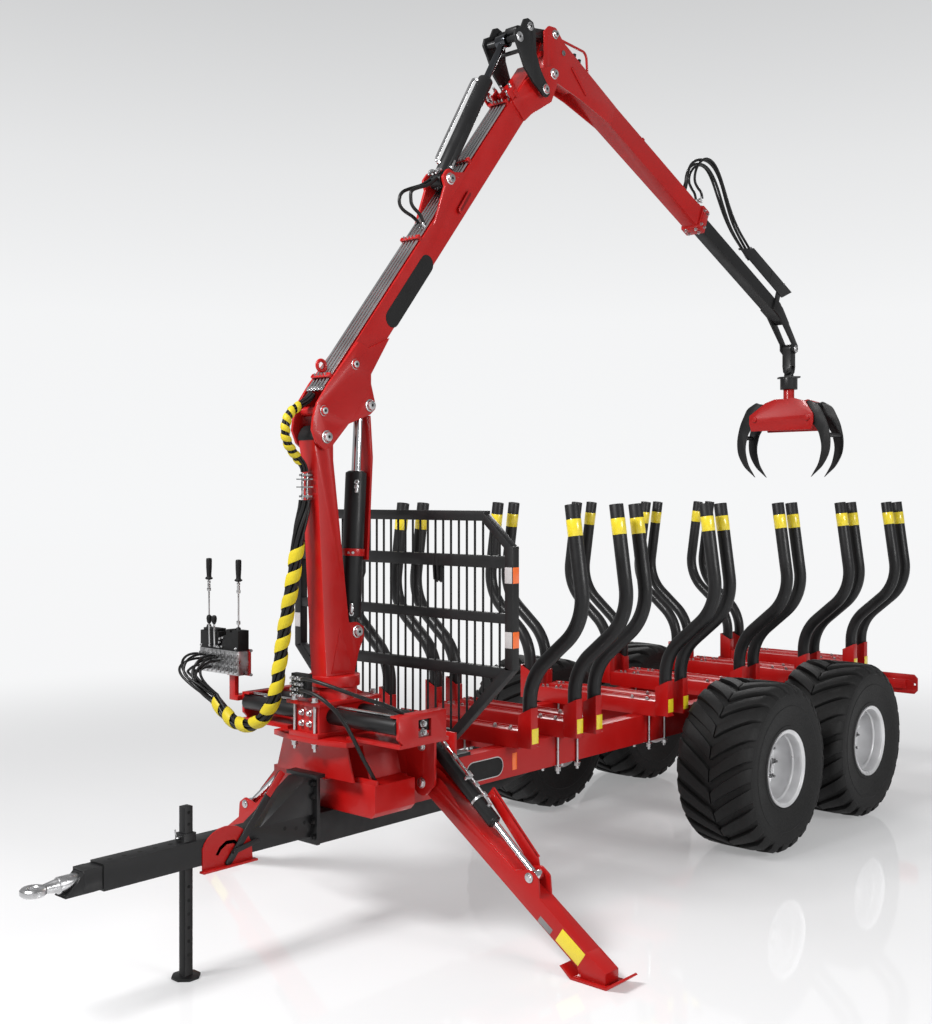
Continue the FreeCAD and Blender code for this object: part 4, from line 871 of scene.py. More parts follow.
class TRAILER_OT_wheels(bpy.types.Operator):
    """Builds the tyres with their lugs, the rims, the nuts and the hub caps"""

    bl_idname = "trailer.wheels"
    bl_label = "Wheels"

    def execute(self, context):
        for place, (x, side) in WHEELS.items():
            body = f"wheel_{place}"
            centre, out = point(x, side * WHEEL_REACH, HUB_HEIGHT), SIDE * side
            tyre(place, body, centre, side)
            with Workpiece(f"rim_{place}_made", "rim lacquer", body, 0.002, (f"rim_{place}",)) as rim:
                rim.lathe(centre, out, scaled(RIM_OUTLINE), 96)
            nuts = [(spot, out, 1.0) for spot in circled(centre + out * 0.0632, 0.1675, 10)]
            bolts(f"wheel_nuts_{place}", nuts, body, "dull steel", 0.032, 0.019, 0.5, 0.7)
            with Workpiece(f"hub_cap_{place}", "dull steel", body, 0.001) as cap:
                cap.lathe(centre, out, [(0.0, 0.104), (0.0, 0.122), (0.05, 0.121), (0.068, 0.115),
                                        (0.072, 0.111), (0.072, 0.104)])
            screws = [(spot, out, 0.5) for spot in circled(centre + out * 0.110, 0.078, 8)]
            bolts(f"hub_screws_{place}", screws, body, "zinc plate", 0.02, 0.0)
            foot = centre + out * 0.11 + UP * 0.206
            neck = foot + out * 0.05 - UP * 0.012
            with Workpiece(f"valve_stem_{place}", "zinc plate", body) as valve:
                valve.bar(foot, neck, 0.004, 10)
                valve.bar(neck, foot + out * 0.07 - UP * 0.016, 0.0055, 10)
        return {"FINISHED"}


# ---------------------------------------------------------------- load bed

BUNK_ROWS = (984, 535, 329, -507, -700, -1520, -1727, -2547, -2737, -3427, -3636)
STAKE_KNEE = (1016, 1733)
STAKE_TOP = (919, 2423)
GATE_X, GATE_HALF, GATE_POST = 1.505, 0.924, 0.029


def bunk_lips():
    """Two thin strips along the top of every bunk."""
    with Workpiece("bunk_lips", "gloss red paint", "chassis", 0.001) as work:
        for x in BUNK_ROWS:
            for offset, high in ((-60, 1058), (-28, 1054)):
                work.block(point(x + offset, -548, 1049), point(x + offset + 7, 548, high))


def bunk_fixings():
    """Long clamp rods through the rails with washers and nuts, and the bolt heads on the bunks."""
    heads, nuts = [], []
    with Workpiece("clamp_rods", "zinc plate", "chassis") as rods:
        for x in BUNK_ROWS:
            for side in (1, -1):
                for reach in (462, 338):
                    if x != BUNK_ROWS[0]:
                        rods.post(x - 8, side * reach, 728, 950, 0.0078, 14)
                        nuts.append((point(x - 8, side * reach, 744), -UP, 1.25))
                    heads.append((point(x + 18, side * reach, 1050), UP, 1.0))
                    heads.append((point(x - 10, side * (reach - 20), 1050), UP, 1.0))
    bolts("clamp_nuts", nuts, "chassis", "zinc plate", 0.026, 0.017, 0.5, 0.7)
    bolts("bunk_bolt_heads", heads, "chassis", "zinc plate", 0.019, 0.012, 0.2, 0.6)


def stake_marks():
    """Yellow bands near the stakes' ends, rubber caps, and yellow reflectors on the sockets."""
    band = [(0.0444, 0.0), (0.0452, 0.0015), (0.0452, 0.0985), (0.0444, 0.1), (0.0435, 0.1), (0.0435, 0.0)]
    with Workpiece("socket_reflectors", "yellow marking", "chassis", 0.0006) as marks, \
            Workpiece("stake_caps", "black casting", "chassis") as caps, \
            Workpiece("stake_bands", "yellow marking", "chassis") as bands:
        for x in BUNK_ROWS:
            for side in (1, -1):
                top = point(x, side * STAKE_TOP[0], STAKE_TOP[1])
                down = (point(x, side * STAKE_KNEE[0], STAKE_KNEE[1]) - top).normalized()
                bands.lathe(top + down * 0.088, down, band, 32)
                caps.lathe(top + down * 0.012, down, disc(0.038, 0.004), 24)
                low, high = between(side, 0.6525, 0.6546)
                marks.block(((x - 18) * MM, low, 0.983), ((x + 44) * MM, high, 1.074))


def gate_frame():
    """The headboard: a welded frame with wide bands and slanted corners."""
    x, post, half = GATE_X, GATE_POST, GATE_HALF
    with Workpiece("gate_frame", "satin black paint", "chassis", 0.003, ("headboard",)) as work:
        for side in (1, -1):
            low, high = between(side, half - 0.058, half)
            work.block((x - post, low, 1.50), (x + post, high, 2.191))
            brace = ((0.400, 0.9435), (0.450, 0.9435), (0.450, 1.040), (half, 1.500), (0.866, 1.520),
                     (0.400, 1.062))
            work.across([(side * y, z) for y, z in brace], x - post, x + post)
            low, high = between(side, 0.35, 0.45)
            work.block((1.35, low, 0.9432), (x + post, high, 0.963))
            slope = Vector((0, side * (half - 0.704), 2.191 - 2.389))
            along = slope.normalized()
            work.slab(Vector((x, side * 0.796, 2.268)), (FORWARD, along, FORWARD.cross(along)),
                      (0.056, slope.length + 0.02, 0.044))
        work.block((x - post, -0.712, 2.331), (x + post, 0.712, 2.389))
        wide = half - 0.03
        for low, high, reach in ((2.066, 2.136, wide), (1.758, 1.814, wide), (1.446, 1.510, 0.86)):
            work.block((x - 0.024, -reach, low), (x + 0.024, reach, high))


def gate_details():
    """The gate's upright bars at even steps, its sill, gussets and reflectors."""
    x, bars = GATE_X, []
    count = int((GATE_HALF - 0.07) / sizes().bar_step)
    for n in range(-count, count + 1):
        y = n * sizes().bar_step
        top = 2.345 - max(abs(y) - 0.70, 0) * 0.9
        foot = 1.475 if abs(y) > 0.82 else max(1.115, 1.475 - (0.82 - abs(y)))
        bars.append((Vector((x, y, (top + foot) / 2)), UP, top - foot))
    grown_from(row_tree, "gate_bars", bars, "satin black paint", "chassis", 40,
               Bar_Width=sizes().bar_width, Bar_Length=1.0)
    with Workpiece("gate_sill", "satin black paint", "chassis", 0.002) as sill:
        sill.block((x - 0.02, -0.46, 1.062), (x + 0.02, 0.46, 1.118))
    with Workpiece("gate_gussets", "satin black paint", "chassis", 0.001) as gussets:
        for side in (1, -1):
            for y in (0.31, 0.34):
                gussets.plate([(x - 0.026, 2.136), (x + 0.026, 2.136), (x + 0.026, 2.06), (x + 0.02, 1.985),
                               (x - 0.01, 1.965), (x - 0.026, 2.0)], *between(side, y, y + 0.012))
    for name, material, back, front, span in (
            ("front", "pale lens", GATE_POST - 0.0002, GATE_POST + 0.0022,
             (GATE_HALF - 0.055, GATE_HALF - 0.003)),
            ("side", "orange lens", -0.026, 0.026, (0.9238, 0.9262))):
        with Workpiece(f"gate_reflectors_{name}", material, "chassis", 0.0005) as lenses:
            for side in (1, -1):
                low, high = between(side, *span)
                for z in (1.625, 1.985):
                    lenses.block((x + back, low, z), (x + front, high, z + 0.09))


def rail_marks():
    """A blank oval plate with a pale rim, and an orange reflector, on each rail."""
    for side, hand in HANDS:
        with Workpiece(f"rail_reflector_{hand}", "orange lens", "chassis", 0.0005) as orange:
            low, high = between(side, 0.450, 0.4522)
            orange.block((0.925, low, 0.792), (0.968, high, 0.895))
        for name, material, grow, proud in (("rim", "pale lens", 0.006, 0.0012),
                                            ("face", "black casting", 0.0, 0.002)):
            low_x, high_x, low_z, high_z = 1.06 - grow, 1.385 + grow, 0.782 - grow, 0.892 + grow
            radius = (high_z - low_z) / 2
            outline = [(centre + radius * math.cos(a), (low_z + high_z) / 2 + radius * math.sin(a))
                       for centre, start in ((high_x - radius, -90), (low_x + radius, 90))
                       for a in (math.radians(start + 12 * n) for n in range(16))]
            with Workpiece(f"rail_plate_{name}_{hand}", material, "chassis") as plate:
                plate.plate(outline, *between(side, 0.450, 0.450 + proud))


class TRAILER_OT_bed(bpy.types.Operator):
    """Builds the gate, the bunks' fixings, the stakes' bands and the reflectors"""

    bl_idname = "trailer.bed"
    bl_label = "Load bed"

    def execute(self, context):
        for step in (bunk_lips, bunk_fixings, stake_marks, gate_frame, gate_details, rail_marks):
            step()
        return {"FINISHED"}


# ---------------------------------------------------------------- pins and fittings

def elbow(work, place, out, away, size):
    """A hose fitting: a nut, a bent neck and its union nut."""
    place, out, away = Vector(place), Vector(out).normalized(), Vector(away).normalized()
    work.bar(place - out * size * 0.4, place + out * size * 1.1, size * 1.25, 6)
    bend = [place + out * size * (1.0 + 1.5 * math.sin(a)) + away * size * 1.5 * (1 - math.cos(a))
            for a in (math.radians(15 * n) for n in range(7))]
    work.tube(bend, size * 0.72, 12)
    end = bend[-1]
    work.bar(end, end + away * size * 1.6, size * 1.2, 6)
    work.bar(end + away * size * 1.6, end + away * size * 3.6, size * 0.85, 14)


CRANE_PINS = (
    ("boom", (2165, 2804), 93, 22, 28), ("boom", (1142, 4446), 93, 22, 28), ("boom", (95, 5360), 93, 22, 28),
    ("boom", (1830, 2998), 93, 22, 28), ("column", (1905, 1690), 65, 22, 28),
    ("boom", (2185, 2950), 93, 14, 22), ("boom", (1946, 3229), 93, 14, 22), ("boom", (243, 5210), 142, 11, 26),
    ("push_link", (411, 5585), 141, 9, 20), ("knuckle_links", (520, 5488), 141, 5, 24),
    ("stick", (53, 5647), 70, 22, 22), ("extension", (-3460, 3796), 66, 14, 22),
)


def crane_pins():
    """The plated ends of the crane's pins: a washer on the plate, a shoulder, and a near-black disc at the
    centre that paints the shade of a hole.
    """
    for number, (body, (x, z), plate, reach, radius) in enumerate(CRANE_PINS):
        r, tip = radius * MM, reach * MM
        end = [(0.0, -0.002), (r + 0.009, -0.002), (r + 0.009, 0.005), (r + 0.002, 0.0065),
               (r + 0.0012, tip - 0.003), (r - 0.003, tip + 0.0012), (0.0, tip + 0.0012)]
        with Workpiece(f"pin_centres_{number}", "dark hollow", body) as hole_shades, \
                Workpiece(f"pin_ends_{number}", "zinc plate", body, 0.0008) as work:
            for side in (1, -1):
                work.lathe(point(x, side * plate, z), SIDE * side, end, 36)
                # Near-black disc on each pin end: painted shade of its centre hole.
                hole_shades.lathe(point(x, side * (plate + reach + 1.25), z), SIDE * side, disc(0.0085, 0.0004), 20)
    for side, name in HANDS:
        with Workpiece(f"leg_pin_ends_{name}", "zinc plate", "chassis", 0.0008) as work:
            for z in (850, 1060):
                work.lathe(point(1765, side * 447, z), FORWARD, [
                    (0.0, 0.0), (0.031, 0.0), (0.031, 0.006), (0.023, 0.007), (0.0228, 0.014), (0.018, 0.017),
                    (0.0, 0.017)], 32)
        with Workpiece(f"leg_rod_pin_{name}", "zinc plate", f"leg_{name}", 0.0008) as work:
            work.bar(point(1606, side * 1197, 455), point(1734, side * 1197, 455), 0.0148)
            for x, step in ((1726, 1), (1614, -1)):
                work.lathe(point(x, side * 1197, 455), FORWARD * step, [
                    (0.0, 0.0), (0.027, 0.0), (0.027, 0.004), (0.018, 0.005), (0.017, 0.012), (0.0, 0.012)], 28)


# ---------------------------------------------------------------- cylinders

def gland(name, body, place, axis, bore, outer, depth):
    """The turned head that closes a cylinder around its rod."""
    with Workpiece(name, "satin black paint", body, 0.001) as work:
        work.lathe(place, axis, [(bore, -0.004), (outer, -0.004), (outer, depth * 0.5),
                                 (outer * 0.9, depth * 0.6), (outer * 0.78, depth), (bore, depth)])


def lift_cylinder():
    foot, eye = point(1905, 0, 1690), point(1830, 0, 2998)
    axis, reach = (eye - foot).normalized(), (eye - foot).length
    with Workpiece("lift_rod_bar", "hard chrome", "lift_rod", nodes=("lift_rod",)) as rod:
        rod.bar(foot + axis * 0.79, eye - axis * 0.02, 0.0279, 48)
    low, knee, high = (foot + axis * along for along in (0.41, 1.01, reach - 0.055))
    with Workpiece("lift_guard", "gloss red paint", "lift_rod", 0.002) as red:
        red.lathe(eye - SIDE * 0.045, SIDE, collar(0.0284, 0.046, 0.090), 44)
        red.plate([(low.x - 0.086, low.z), (low.x - 0.070, low.z), (knee.x - 0.070, knee.z),
                   (eye.x - 0.034, high.z), (eye.x - 0.050, high.z), (knee.x - 0.086, knee.z)], -0.048, 0.048)
    gland("lift_gland", "lift_barrel", foot + axis * 0.912, axis, 0.0286, 0.0615, 0.016)
    with Workpiece("lift_wiper", "zinc plate", "lift_barrel") as wiper:
        wiper.lathe(foot + axis * 0.926, axis, [(0.0286, 0.0), (0.044, 0.0), (0.044, 0.004), (0.0286, 0.006)])
    middle = foot + axis * 0.456
    with Workpiece("lift_band", "gloss red paint", "lift_barrel", 0.001) as band:
        band.lathe(middle - axis * 0.021, axis, collar(0.0622, 0.069, 0.042), 48)
        band.slab(middle + FORWARD * 0.02 - SIDE * 0.071, (FORWARD, SIDE, UP), (0.05, 0.012, 0.042))
    ways = [Vector((math.cos(a), math.sin(a), 0)) for a in (math.radians(25), math.radians(48))]
    bolts("lift_band_screws", [(middle + way * 0.069, way, 1.0) for way in ways], "lift_barrel", "zinc plate",
          0.011, 0.008, 0.2, 0.5)
    with Workpiece("lift_unions", "zinc plate", "lift_barrel", 0.0006) as unions:
        for along, away in ((0.865, -axis), (0.105, axis)):
            elbow(unions, foot + axis * along + Vector((0.036, 0.046, 0)), (0.62, 0.78, 0), away, 0.012)


def stick_cylinder():
    foot, eye = point(1142, 0, 4446), point(520, 0, 5488)
    axis = (eye - foot).normalized()
    gland("stick_gland", "stick_barrel", foot + axis * 0.850, axis, 0.0238, 0.0505, 0.022)
    # The stick's rod is chrome coloured dark grey: a painted dark reflection.
    refined("stick_rod", "dark rod", "stick_rod")
    side = (Vector((-axis.z, 0, axis.x)) * 0.9 - SIDE * 0.35).normalized()
    if side.x < 0:
        side = Vector((-side.x, side.y, -side.z))
    with Workpiece("stick_cylinder_pipe", "drawn steel", "stick_barrel") as pipe:
        pipe.tube([foot + axis * along + side * out for along, out in (
            (0.115, 0.052), (0.115, 0.074), (0.135, 0.080), (0.20, 0.081), (0.76, 0.081), (0.81, 0.078),
            (0.822, 0.068), (0.822, 0.050))], 0.0085, 14)
        for along in (0.822, 0.115):
            spot = foot + axis * along
            pipe.bar(spot + side * 0.046, spot + side * 0.062, 0.014, 6)
    with Workpiece("stick_cylinder_unions", "zinc plate", "stick_barrel", 0.0006) as unions:
        for y in (-0.03, 0.03):
            elbow(unions, foot + axis * 0.045 + Vector((0.040, y, 0.022)), (0.86, 0, 0.5), (0.5, 0, -0.86),
                  0.010)
        port = foot + axis * 0.10
        unions.bar(port + SIDE * 0.047, port + SIDE * 0.066, 0.014, 6)
        unions.bar(port + SIDE * 0.060 - axis * 0.012, port + SIDE * 0.060 + axis * 0.055, 0.008, 12)


def leg_cylinder(side, name):
    """The head and check valve of a leg's cylinder; it returns the place and axis for the pipe clamp."""
    body = f"leg_barrel_{name}"
    top, low = point(1670, side * 447, 1060), point(1670, side * 1197, 455)
    axis = (low - top).normalized()
    gland(f"leg_gland_{name}", body, top + axis * 0.585, axis, 0.0206, 0.0398, 0.016)
    up = axis.cross(FORWARD)
    if up.z < 0:
        up = -up

    def spot(along, out):
        return top + axis * along + up * out

    with Workpiece(f"leg_check_valve_{name}", "zinc plate", body, 0.0006) as pipe:
        pipe.tube([spot(*place) for place in ((0.07, 0.040), (0.07, 0.062), (0.09, 0.068), (0.27, 0.068),
                                              (0.46, 0.060), (0.50, 0.054), (0.51, 0.04))], 0.0065, 12)
        for along, size in ((0.07, 0.013), (0.16, 0.012), (0.30, 0.017), (0.37, 0.012), (0.45, 0.013)):
            pipe.bar(spot(along - 0.014, 0.066), spot(along + 0.02, 0.066), size, 6)
        pipe.bar(spot(0.32, 0.064), spot(0.32, 0.064) + FORWARD * 0.045, 0.011, 12)
        pipe.bar(spot(0.51, 0.036), spot(0.51, 0.056), 0.013, 6)
    return top + axis * 0.43, axis


def leg_plates(side, name):
    """A leg's box end over the foot, the guard behind its cylinder, its gable and its blank plates."""
    def spots(*pairs):
        return [(side * (447 + 0.8269 * along + 0.5623 * up) * MM, (850 - 0.5623 * along + 0.8269 * up) * MM)
                for along, up in pairs]

    shin, heel, toe = spots((1325, -55), (1325, 55), (1467, 55))
    with Workpiece(f"leg_plates_{name}", "gloss red paint", f"leg_{name}", 0.0015) as shoe:
        shoe.across([shin, (side * 1.536, 0.0125), (side * 1.690, 0.0125), toe, heel], 1.6128, 1.7272)
        shoe.across(spots((323, 172), (330, 236), (777, 151), (812, 118), (783, 73)), 1.614, 1.620)
        shoe.across(spots((330, 236), (777, 151), (776, 145), (329, 230)), 1.602, 1.620)
        for low, high in ((1.6132, 1.6200), (1.7200, 1.7268)):
            shoe.across(spots((25, 42), (60, 84), (120, 84), (292, 50)), low, high)
    for what, material, (near, far), (low, high), front in (
            ("label", "yellow marking", (1150, 1325), (-44, 40), 1.7274),
            ("patch", "grey plastic", (1010, 1108), (-50, -14), 1.7270)):
        with Workpiece(f"leg_{what}_{name}", material, f"leg_{name}", 0.0003) as sign:
            sign.across(spots((near, low), (far, low), (far, high), (near, high)), 1.7255, front)


def legs():
    for side, name in HANDS:
        place, axis = leg_cylinder(side, name)
        leg_plates(side, name)
        with Workpiece(f"leg_pipe_clamp_{name}", "zinc plate", f"leg_barrel_{name}") as clamp:
            clamp.lathe(place, axis, collar(0.0402, 0.0425, 0.014), 36)


# ---------------------------------------------------------------- boom and stick fittings

PIPE_CLAMPS = (300, 1448, 2170, 2760)


def boom_pipes():
    rows = [-0.056 + 0.028 * number for number in range(5)]
    with Workpiece("boom_pipe_run", "drawn steel", "boom", nodes=("boom_pipes",)) as pipes:
        for y in rows:
            pipes.bar(boom_point(192, 175, y), boom_point(2785, 175, y), 0.009, 20)
    with Workpiece("boom_pipe_clamps", "gloss red paint", "boom", 0.001) as clamps:
        for along in PIPE_CLAMPS:
            clamps.slab(boom_point(along, 192), BOOM, (0.030, 0.150, 0.008))
            clamps.slab(boom_point(along, 167), BOOM, (0.030, 0.150, 0.007))
            for y in (-0.071, 0.071):
                clamps.slab(boom_point(along, 184, y), BOOM, (0.022, 0.012, 0.030))
    heads = [(boom_point(along, 196, y), BOOM_UP, 1.0)
             for along in PIPE_CLAMPS for y in (-0.042, -0.014, 0.014, 0.042)]
    bolts("boom_clamp_bolts", heads, "boom", "zinc plate", 0.012, 0.008, 0.5, 0.6)
    with Workpiece("boom_pipe_nuts", "zinc plate", "boom", 0.0006) as nuts:
        for y in rows:
            for one, two in ((224, 202), (2784, 2806)):
                nuts.bar(boom_point(one, 175, y), boom_point(two, 175, y), 0.0122, 6)


def slotted(name, material, body, centre, along, up, length, width, span, edge=None):
    """A long round-ended plate on the side of the boom or the stick."""
    outline = []
    for end, start in ((1, -90), (-1, 90)):
        for angle in (math.radians(start + 18 * n) for n in range(11)):
            spot = (centre + along * (end * (length - width) / 2 + width / 2 * math.cos(angle))
                    + up * (width / 2 * math.sin(angle)))
            outline.append((spot.x, spot.z))
    with Workpiece(name, material, body, edge) as work:
        work.plate(outline, *span)


def boom_fittings():
    with Workpiece("boom_lifting_eye", "gloss red paint", "boom", 0.001) as eye:
        eye.tube([boom_point(345, 226) + 0.030 * (math.cos(a) * BOOM_AXIS + math.sin(a) * BOOM_UP)
                  for a in (math.tau * n / 28 for n in range(28))], 0.0105, 14, True)
        eye.slab(boom_point(345, 178), BOOM, (0.030, 0.012, 0.044))
    with Workpiece("boom_bracket", "gloss red paint", "boom", 0.001) as block:
        block.slab(boom_point(2835, 182), BOOM, (0.034, 0.226, 0.05))
        for y in (-0.104, -0.035, 0.035, 0.104):
            block.slab(boom_point(2815, 205, y), BOOM, (0.078, 0.009, 0.060))
        block.slab(boom_point(2850, 160), BOOM, (0.060, 0.19, 0.010))
        for y in (-0.084, 0.084):
            block.slab(boom_point(2835, 120, y), BOOM, (0.050, 0.010, 0.110))
    with Workpiece("boom_unions", "zinc plate", "boom", 0.0006) as unions:
        for y in (-0.070, -0.010, 0.060):
            elbow(unions, boom_point(2852, 186, y), BOOM_AXIS, BOOM_UP, 0.011)
        for y in (-0.084, -0.052, 0.084):
            elbow(unions, boom_point(2818, 190, y), -BOOM_AXIS, BOOM_UP, 0.010)
    ridge = (boom_point(1918, 52), (BOOM_AXIS + BOOM_UP * 0.05).normalized(),
             (BOOM_UP - BOOM_AXIS * 0.05).normalized())
    rib = (stick_point(368, -32), (STICK_AXIS - STICK_UP * 0.34).normalized(),
           (STICK_UP + STICK_AXIS * 0.34).normalized())
    for side, name in HANDS:
        slotted(f"boom_plate_{name}", "black casting", "boom", boom_point(1135, 38), BOOM_AXIS, BOOM_UP,
                0.58, 0.112, between(side, 0.075, 0.0765))
        slotted(f"boom_ridge_{name}", "gloss red paint", "boom", *ridge, 0.19, 0.046,
                between(side, 0.0925, 0.0965), 0.0018)
        # A darker red strip on each ridge: painted shade where its hollow is, not a cut groove.
        slotted(f"boom_ridge_hollow_{name}", "shaded red paint", "boom", *ridge, 0.158, 0.018,
                between(side, 0.096, 0.0972))
        slotted(f"stick_ridge_{name}", "gloss red paint", "stick", *rib, 0.235, 0.030,
                between(side, 0.0715, 0.0755), 0.0018)
        with Workpiece(f"stick_grease_port_{name}", "dull steel", "stick") as bore:
            bore.lathe(stick_point(137, 31, side * 0.0715), SIDE * side, [
                (0.0, 0.0), (0.019, 0.0), (0.019, 0.003), (0.012, 0.003), (0.011, 0.0012), (0.0, 0.0012)], 28)


def stick_fittings():
    with Workpiece("stick_ports", "black casting", "stick", 0.001) as ports:
        for along in (318, 380):
            ports.bar(stick_point(along, 80), stick_point(along - 4, 166), 0.0085, 16)
            ports.bar(stick_point(along - 3, 150), stick_point(along - 6, 182), 0.013, 16)
    with Workpiece("stick_tab", "gloss red paint", "stick", 0.001) as tab:
        tab.slab(stick_point(1211, 90, 0.045), STICK, (0.026, 0.030, 0.020))
    with Workpiece("stick_hose_lug", "gloss red paint", "stick", 0.0015) as lug:
        lug.slab(stick_point(2128, 103), STICK, (0.012, 0.084, 0.028))
        for y in (-0.038, 0.038):
            lug.slab(stick_point(2112, 101, y), STICK, (0.040, 0.008, 0.026))
    with Workpiece("stick_unions", "zinc plate", "stick", 0.0006) as unions:
        for y in (-0.030, 0.0, 0.030):
            unions.bar(stick_point(2098, 160, y), stick_point(2140, 160, y), 0.0125, 6)
        unions.bar(stick_point(2118, 176, 0.03), stick_point(2118, 200, 0.03), 0.008, 12)
    spots = []
    for along in (2132, 2182):
        for side in (1, -1):
            spots += [(stick_point(along, up, side * 0.0811), SIDE * side, 1.0) for up in (-62, 62)]
            spots += [(stick_point(along, side * 98.8, y), STICK_UP * side, 1.0) for y in (-0.045, 0.045)]
    bolts("collar_bolts", spots, "stick", "zinc plate", 0.019, 0.013, 0.3, 0.6)
    with Workpiece("collar_pads", "gloss red paint", "stick", 0.0012) as pads:
        for side in (1, -1):
            pads.slab(stick_point(2157, 0, side * 0.0822), STICK, (0.06, 0.006, 0.10))
            pads.slab(stick_point(2157, side * 100.5), STICK, (0.06, 0.064, 0.006))
    with Workpiece("guard_lip", "satin black paint", "extension", 0.001) as rim:
        rim.slab(stick_point(2796, 130, 0.042), STICK, (0.020, 0.018, 0.010))
        rim.slab(stick_point(3330, 189, 0.0585), (STICK_AXIS - STICK_UP * 0.9, SIDE, STICK_UP),
                 (0.006, 0.003, 0.118))
    screws = [(stick_point(2925, 222, 0.0582), SIDE, 1.0), (stick_point(3560, 250, 0.0582), SIDE, 0.8)]
    bolts("guard_screws", screws, "extension", "zinc plate", 0.014, 0.010, 0.2, 0.5)
    with Workpiece("guard_loop", "satin black paint", "extension") as loop:
        loop.tube([stick_point(along, up) for along, up in
                   ((3560, 252), (3600, 282), (3640, 268), (3655, 232), (3622, 210))], 0.006)


def column_details():
    """The hose couplings held on the column, its black top and the gusset at its foot."""
    with Workpiece("hose_clamp_bars", "dull steel", "column", 0.0006) as bars, \
            Workpiece("hose_couplings", "zinc plate", "column", 0.0005, ("hose_clamp",)) as unions:
        for row, x in enumerate((2229, 2261)):
            for y in (-0.034, -0.017, 0.0, 0.017, 0.034):
                unions.post(x, y, 2453, 2602, 0.0074, 18)
                for z, tall in ((2462, 22), (2500, 14), (2532, 22), (2576, 20)):
                    unions.post(x, y, z + 3 * row, z + tall, 0.0084, 6)
            for z in (2.519, 2.563):
                bars.block((x * MM - 0.007, -0.046, z), (x * MM + 0.007, 0.046, z + 0.007))
        for z in (2516, 2560):
            bars.bar(point(2245, -0.052, z), point(2245, 0.052, z), 0.0035, 12)
        for z in (2.470, 2.590):
            bars.block((2.2135, -0.03, z - 0.006), (2.262, 0.03, z + 0.006))
    with Workpiece("column_cap", "black casting", "column", 0.001) as cap:
        cap.plate([(2.2392, 2.786), (2.2424, 2.804), (2.2320, 2.829), (2.2160, 2.853), (2.1960, 2.8685),
                   (2.1790, 2.8712), (2.1500, 2.8712), (2.1330, 2.8685), (2.1140, 2.853), (2.0980, 2.829),
                   (2.0870, 2.804), (2.0868, 2.786)], -0.0654, 0.0654)
    with Workpiece("column_foot_ribs", "gloss red paint", "column", 0.0012) as ribs:
        for side in (1, -1):
            ribs.plate([(2.040, 1.716), (2.106, 1.464), (1.938, 1.464)], *between(side, 0.0640, 0.0700))


class TRAILER_OT_crane(bpy.types.Operator):
    """Adds the crane's pins, cylinder heads, pipes, unions and brackets"""

    bl_idname = "trailer.crane"
    bl_label = "Crane fittings"

    def execute(self, context):
        for step in (column_details, crane_pins, lift_cylinder, stick_cylinder, legs, boom_pipes, boom_fittings,
                     stick_fittings):
            step()
        return {"FINISHED"}


# ---------------------------------------------------------------- drawbar, crane base and valves

def brake():
    """The parking brake: a red quadrant on its flange, and a black arm with its link."""
    slot = [(2755, 640), (2790, 668), (2842, 672), (2884, 648), (2908, 612), (2893, 604), (2872, 632),
            (2838, 652), (2796, 650), (2766, 626)]
    rim = [(2990, 545), (2990, 655), (2974, 686), (2950, 710), (2918, 730), (2884, 743), (2846, 748),
           (2806, 745), (2768, 734), (2738, 717), (2712, 692), (2690, 660), (2675, 630), (2667, 545)]
    outline = rim[:12] + [slot[0]] + slot[:0:-1] + [slot[0]] + rim[11:]
    with Workpiece("brake_quadrant", "gloss red paint", "chassis", nodes=("handbrake_lever",)) as red:
        red.plate(scaled(outline), 0.060, 0.068)
    with Workpiece("brake_flange", "gloss red paint", "chassis", 0.0012) as flange:
        flange.block(point(2655, 60, 535), point(3005, 98, 546))
        flange.block(point(2505, 71, 900), point(2520, 81, 912))
    with Workpiece("brake_arm", "satin black paint", "chassis", 0.001) as arm:
        arm.plate(scaled([(2815, 546), (2832, 541), (2848, 548), (2852, 562), (2500, 978), (2488, 984),
                          (2462, 968), (2456, 958)]), 0.072, 0.080)
        arm.plate(scaled([(2800, 596), (2806, 622), (2640, 652), (2634, 626)]), 0.0802, 0.088)
        arm.bar(point(2800, 68, 606), point(2800, 93, 606), 0.011, 20)
    with Workpiece("brake_grip", "gloss red paint", "chassis", 0.0012) as grip:
        grip.plate(scaled([(2560, 850), (2590, 874), (2500, 978), (2488, 984), (2466, 970), (2458, 958)]),
                   0.0803, 0.0845)


def drawbar_details():
    # Near-black discs where the drawbar's holes are: painted shade, since the holes are not cut.
    hole_shades = [(point(x, 0, 703.0), UP, 0.0125, 24) for x in (3140, 3230, 3320, 3410, 3490)]
    hole_shades += [(point(x, 60, z), SIDE, 0.011, 20) for x, z in ((2440, 655), (2300, 660), (2360, 640))]
    hole_shades += [(point(3045, 25, z), SIDE, 0.009, 20) for z in (120, 190, 260, 330, 400, 470, 790, 850)]
    with Workpiece("drilled_holes", "dark hollow", "chassis") as marks:
        for place, way, radius, steps in hole_shades:
            marks.lathe(place, way, disc(radius, 0.0006), steps)
    with Workpiece("jack_pin", "zinc plate", "chassis", 0.0006) as pin:
        pin.bar(point(3082, 0, 724), point(3108, 0, 724), 0.008, 16)
        pin.bar(point(3104, 0, 724), point(3112, 0, 770), 0.0045, 10)
    spots = [(point(2252, y, z), FORWARD, 1.0) for y in (-88, 88) for z in (575, 660, 800, 870)]
    bolts("pedestal_bolts", spots, "chassis", "black casting", 0.026, 0.018, 0.3, 0.6)


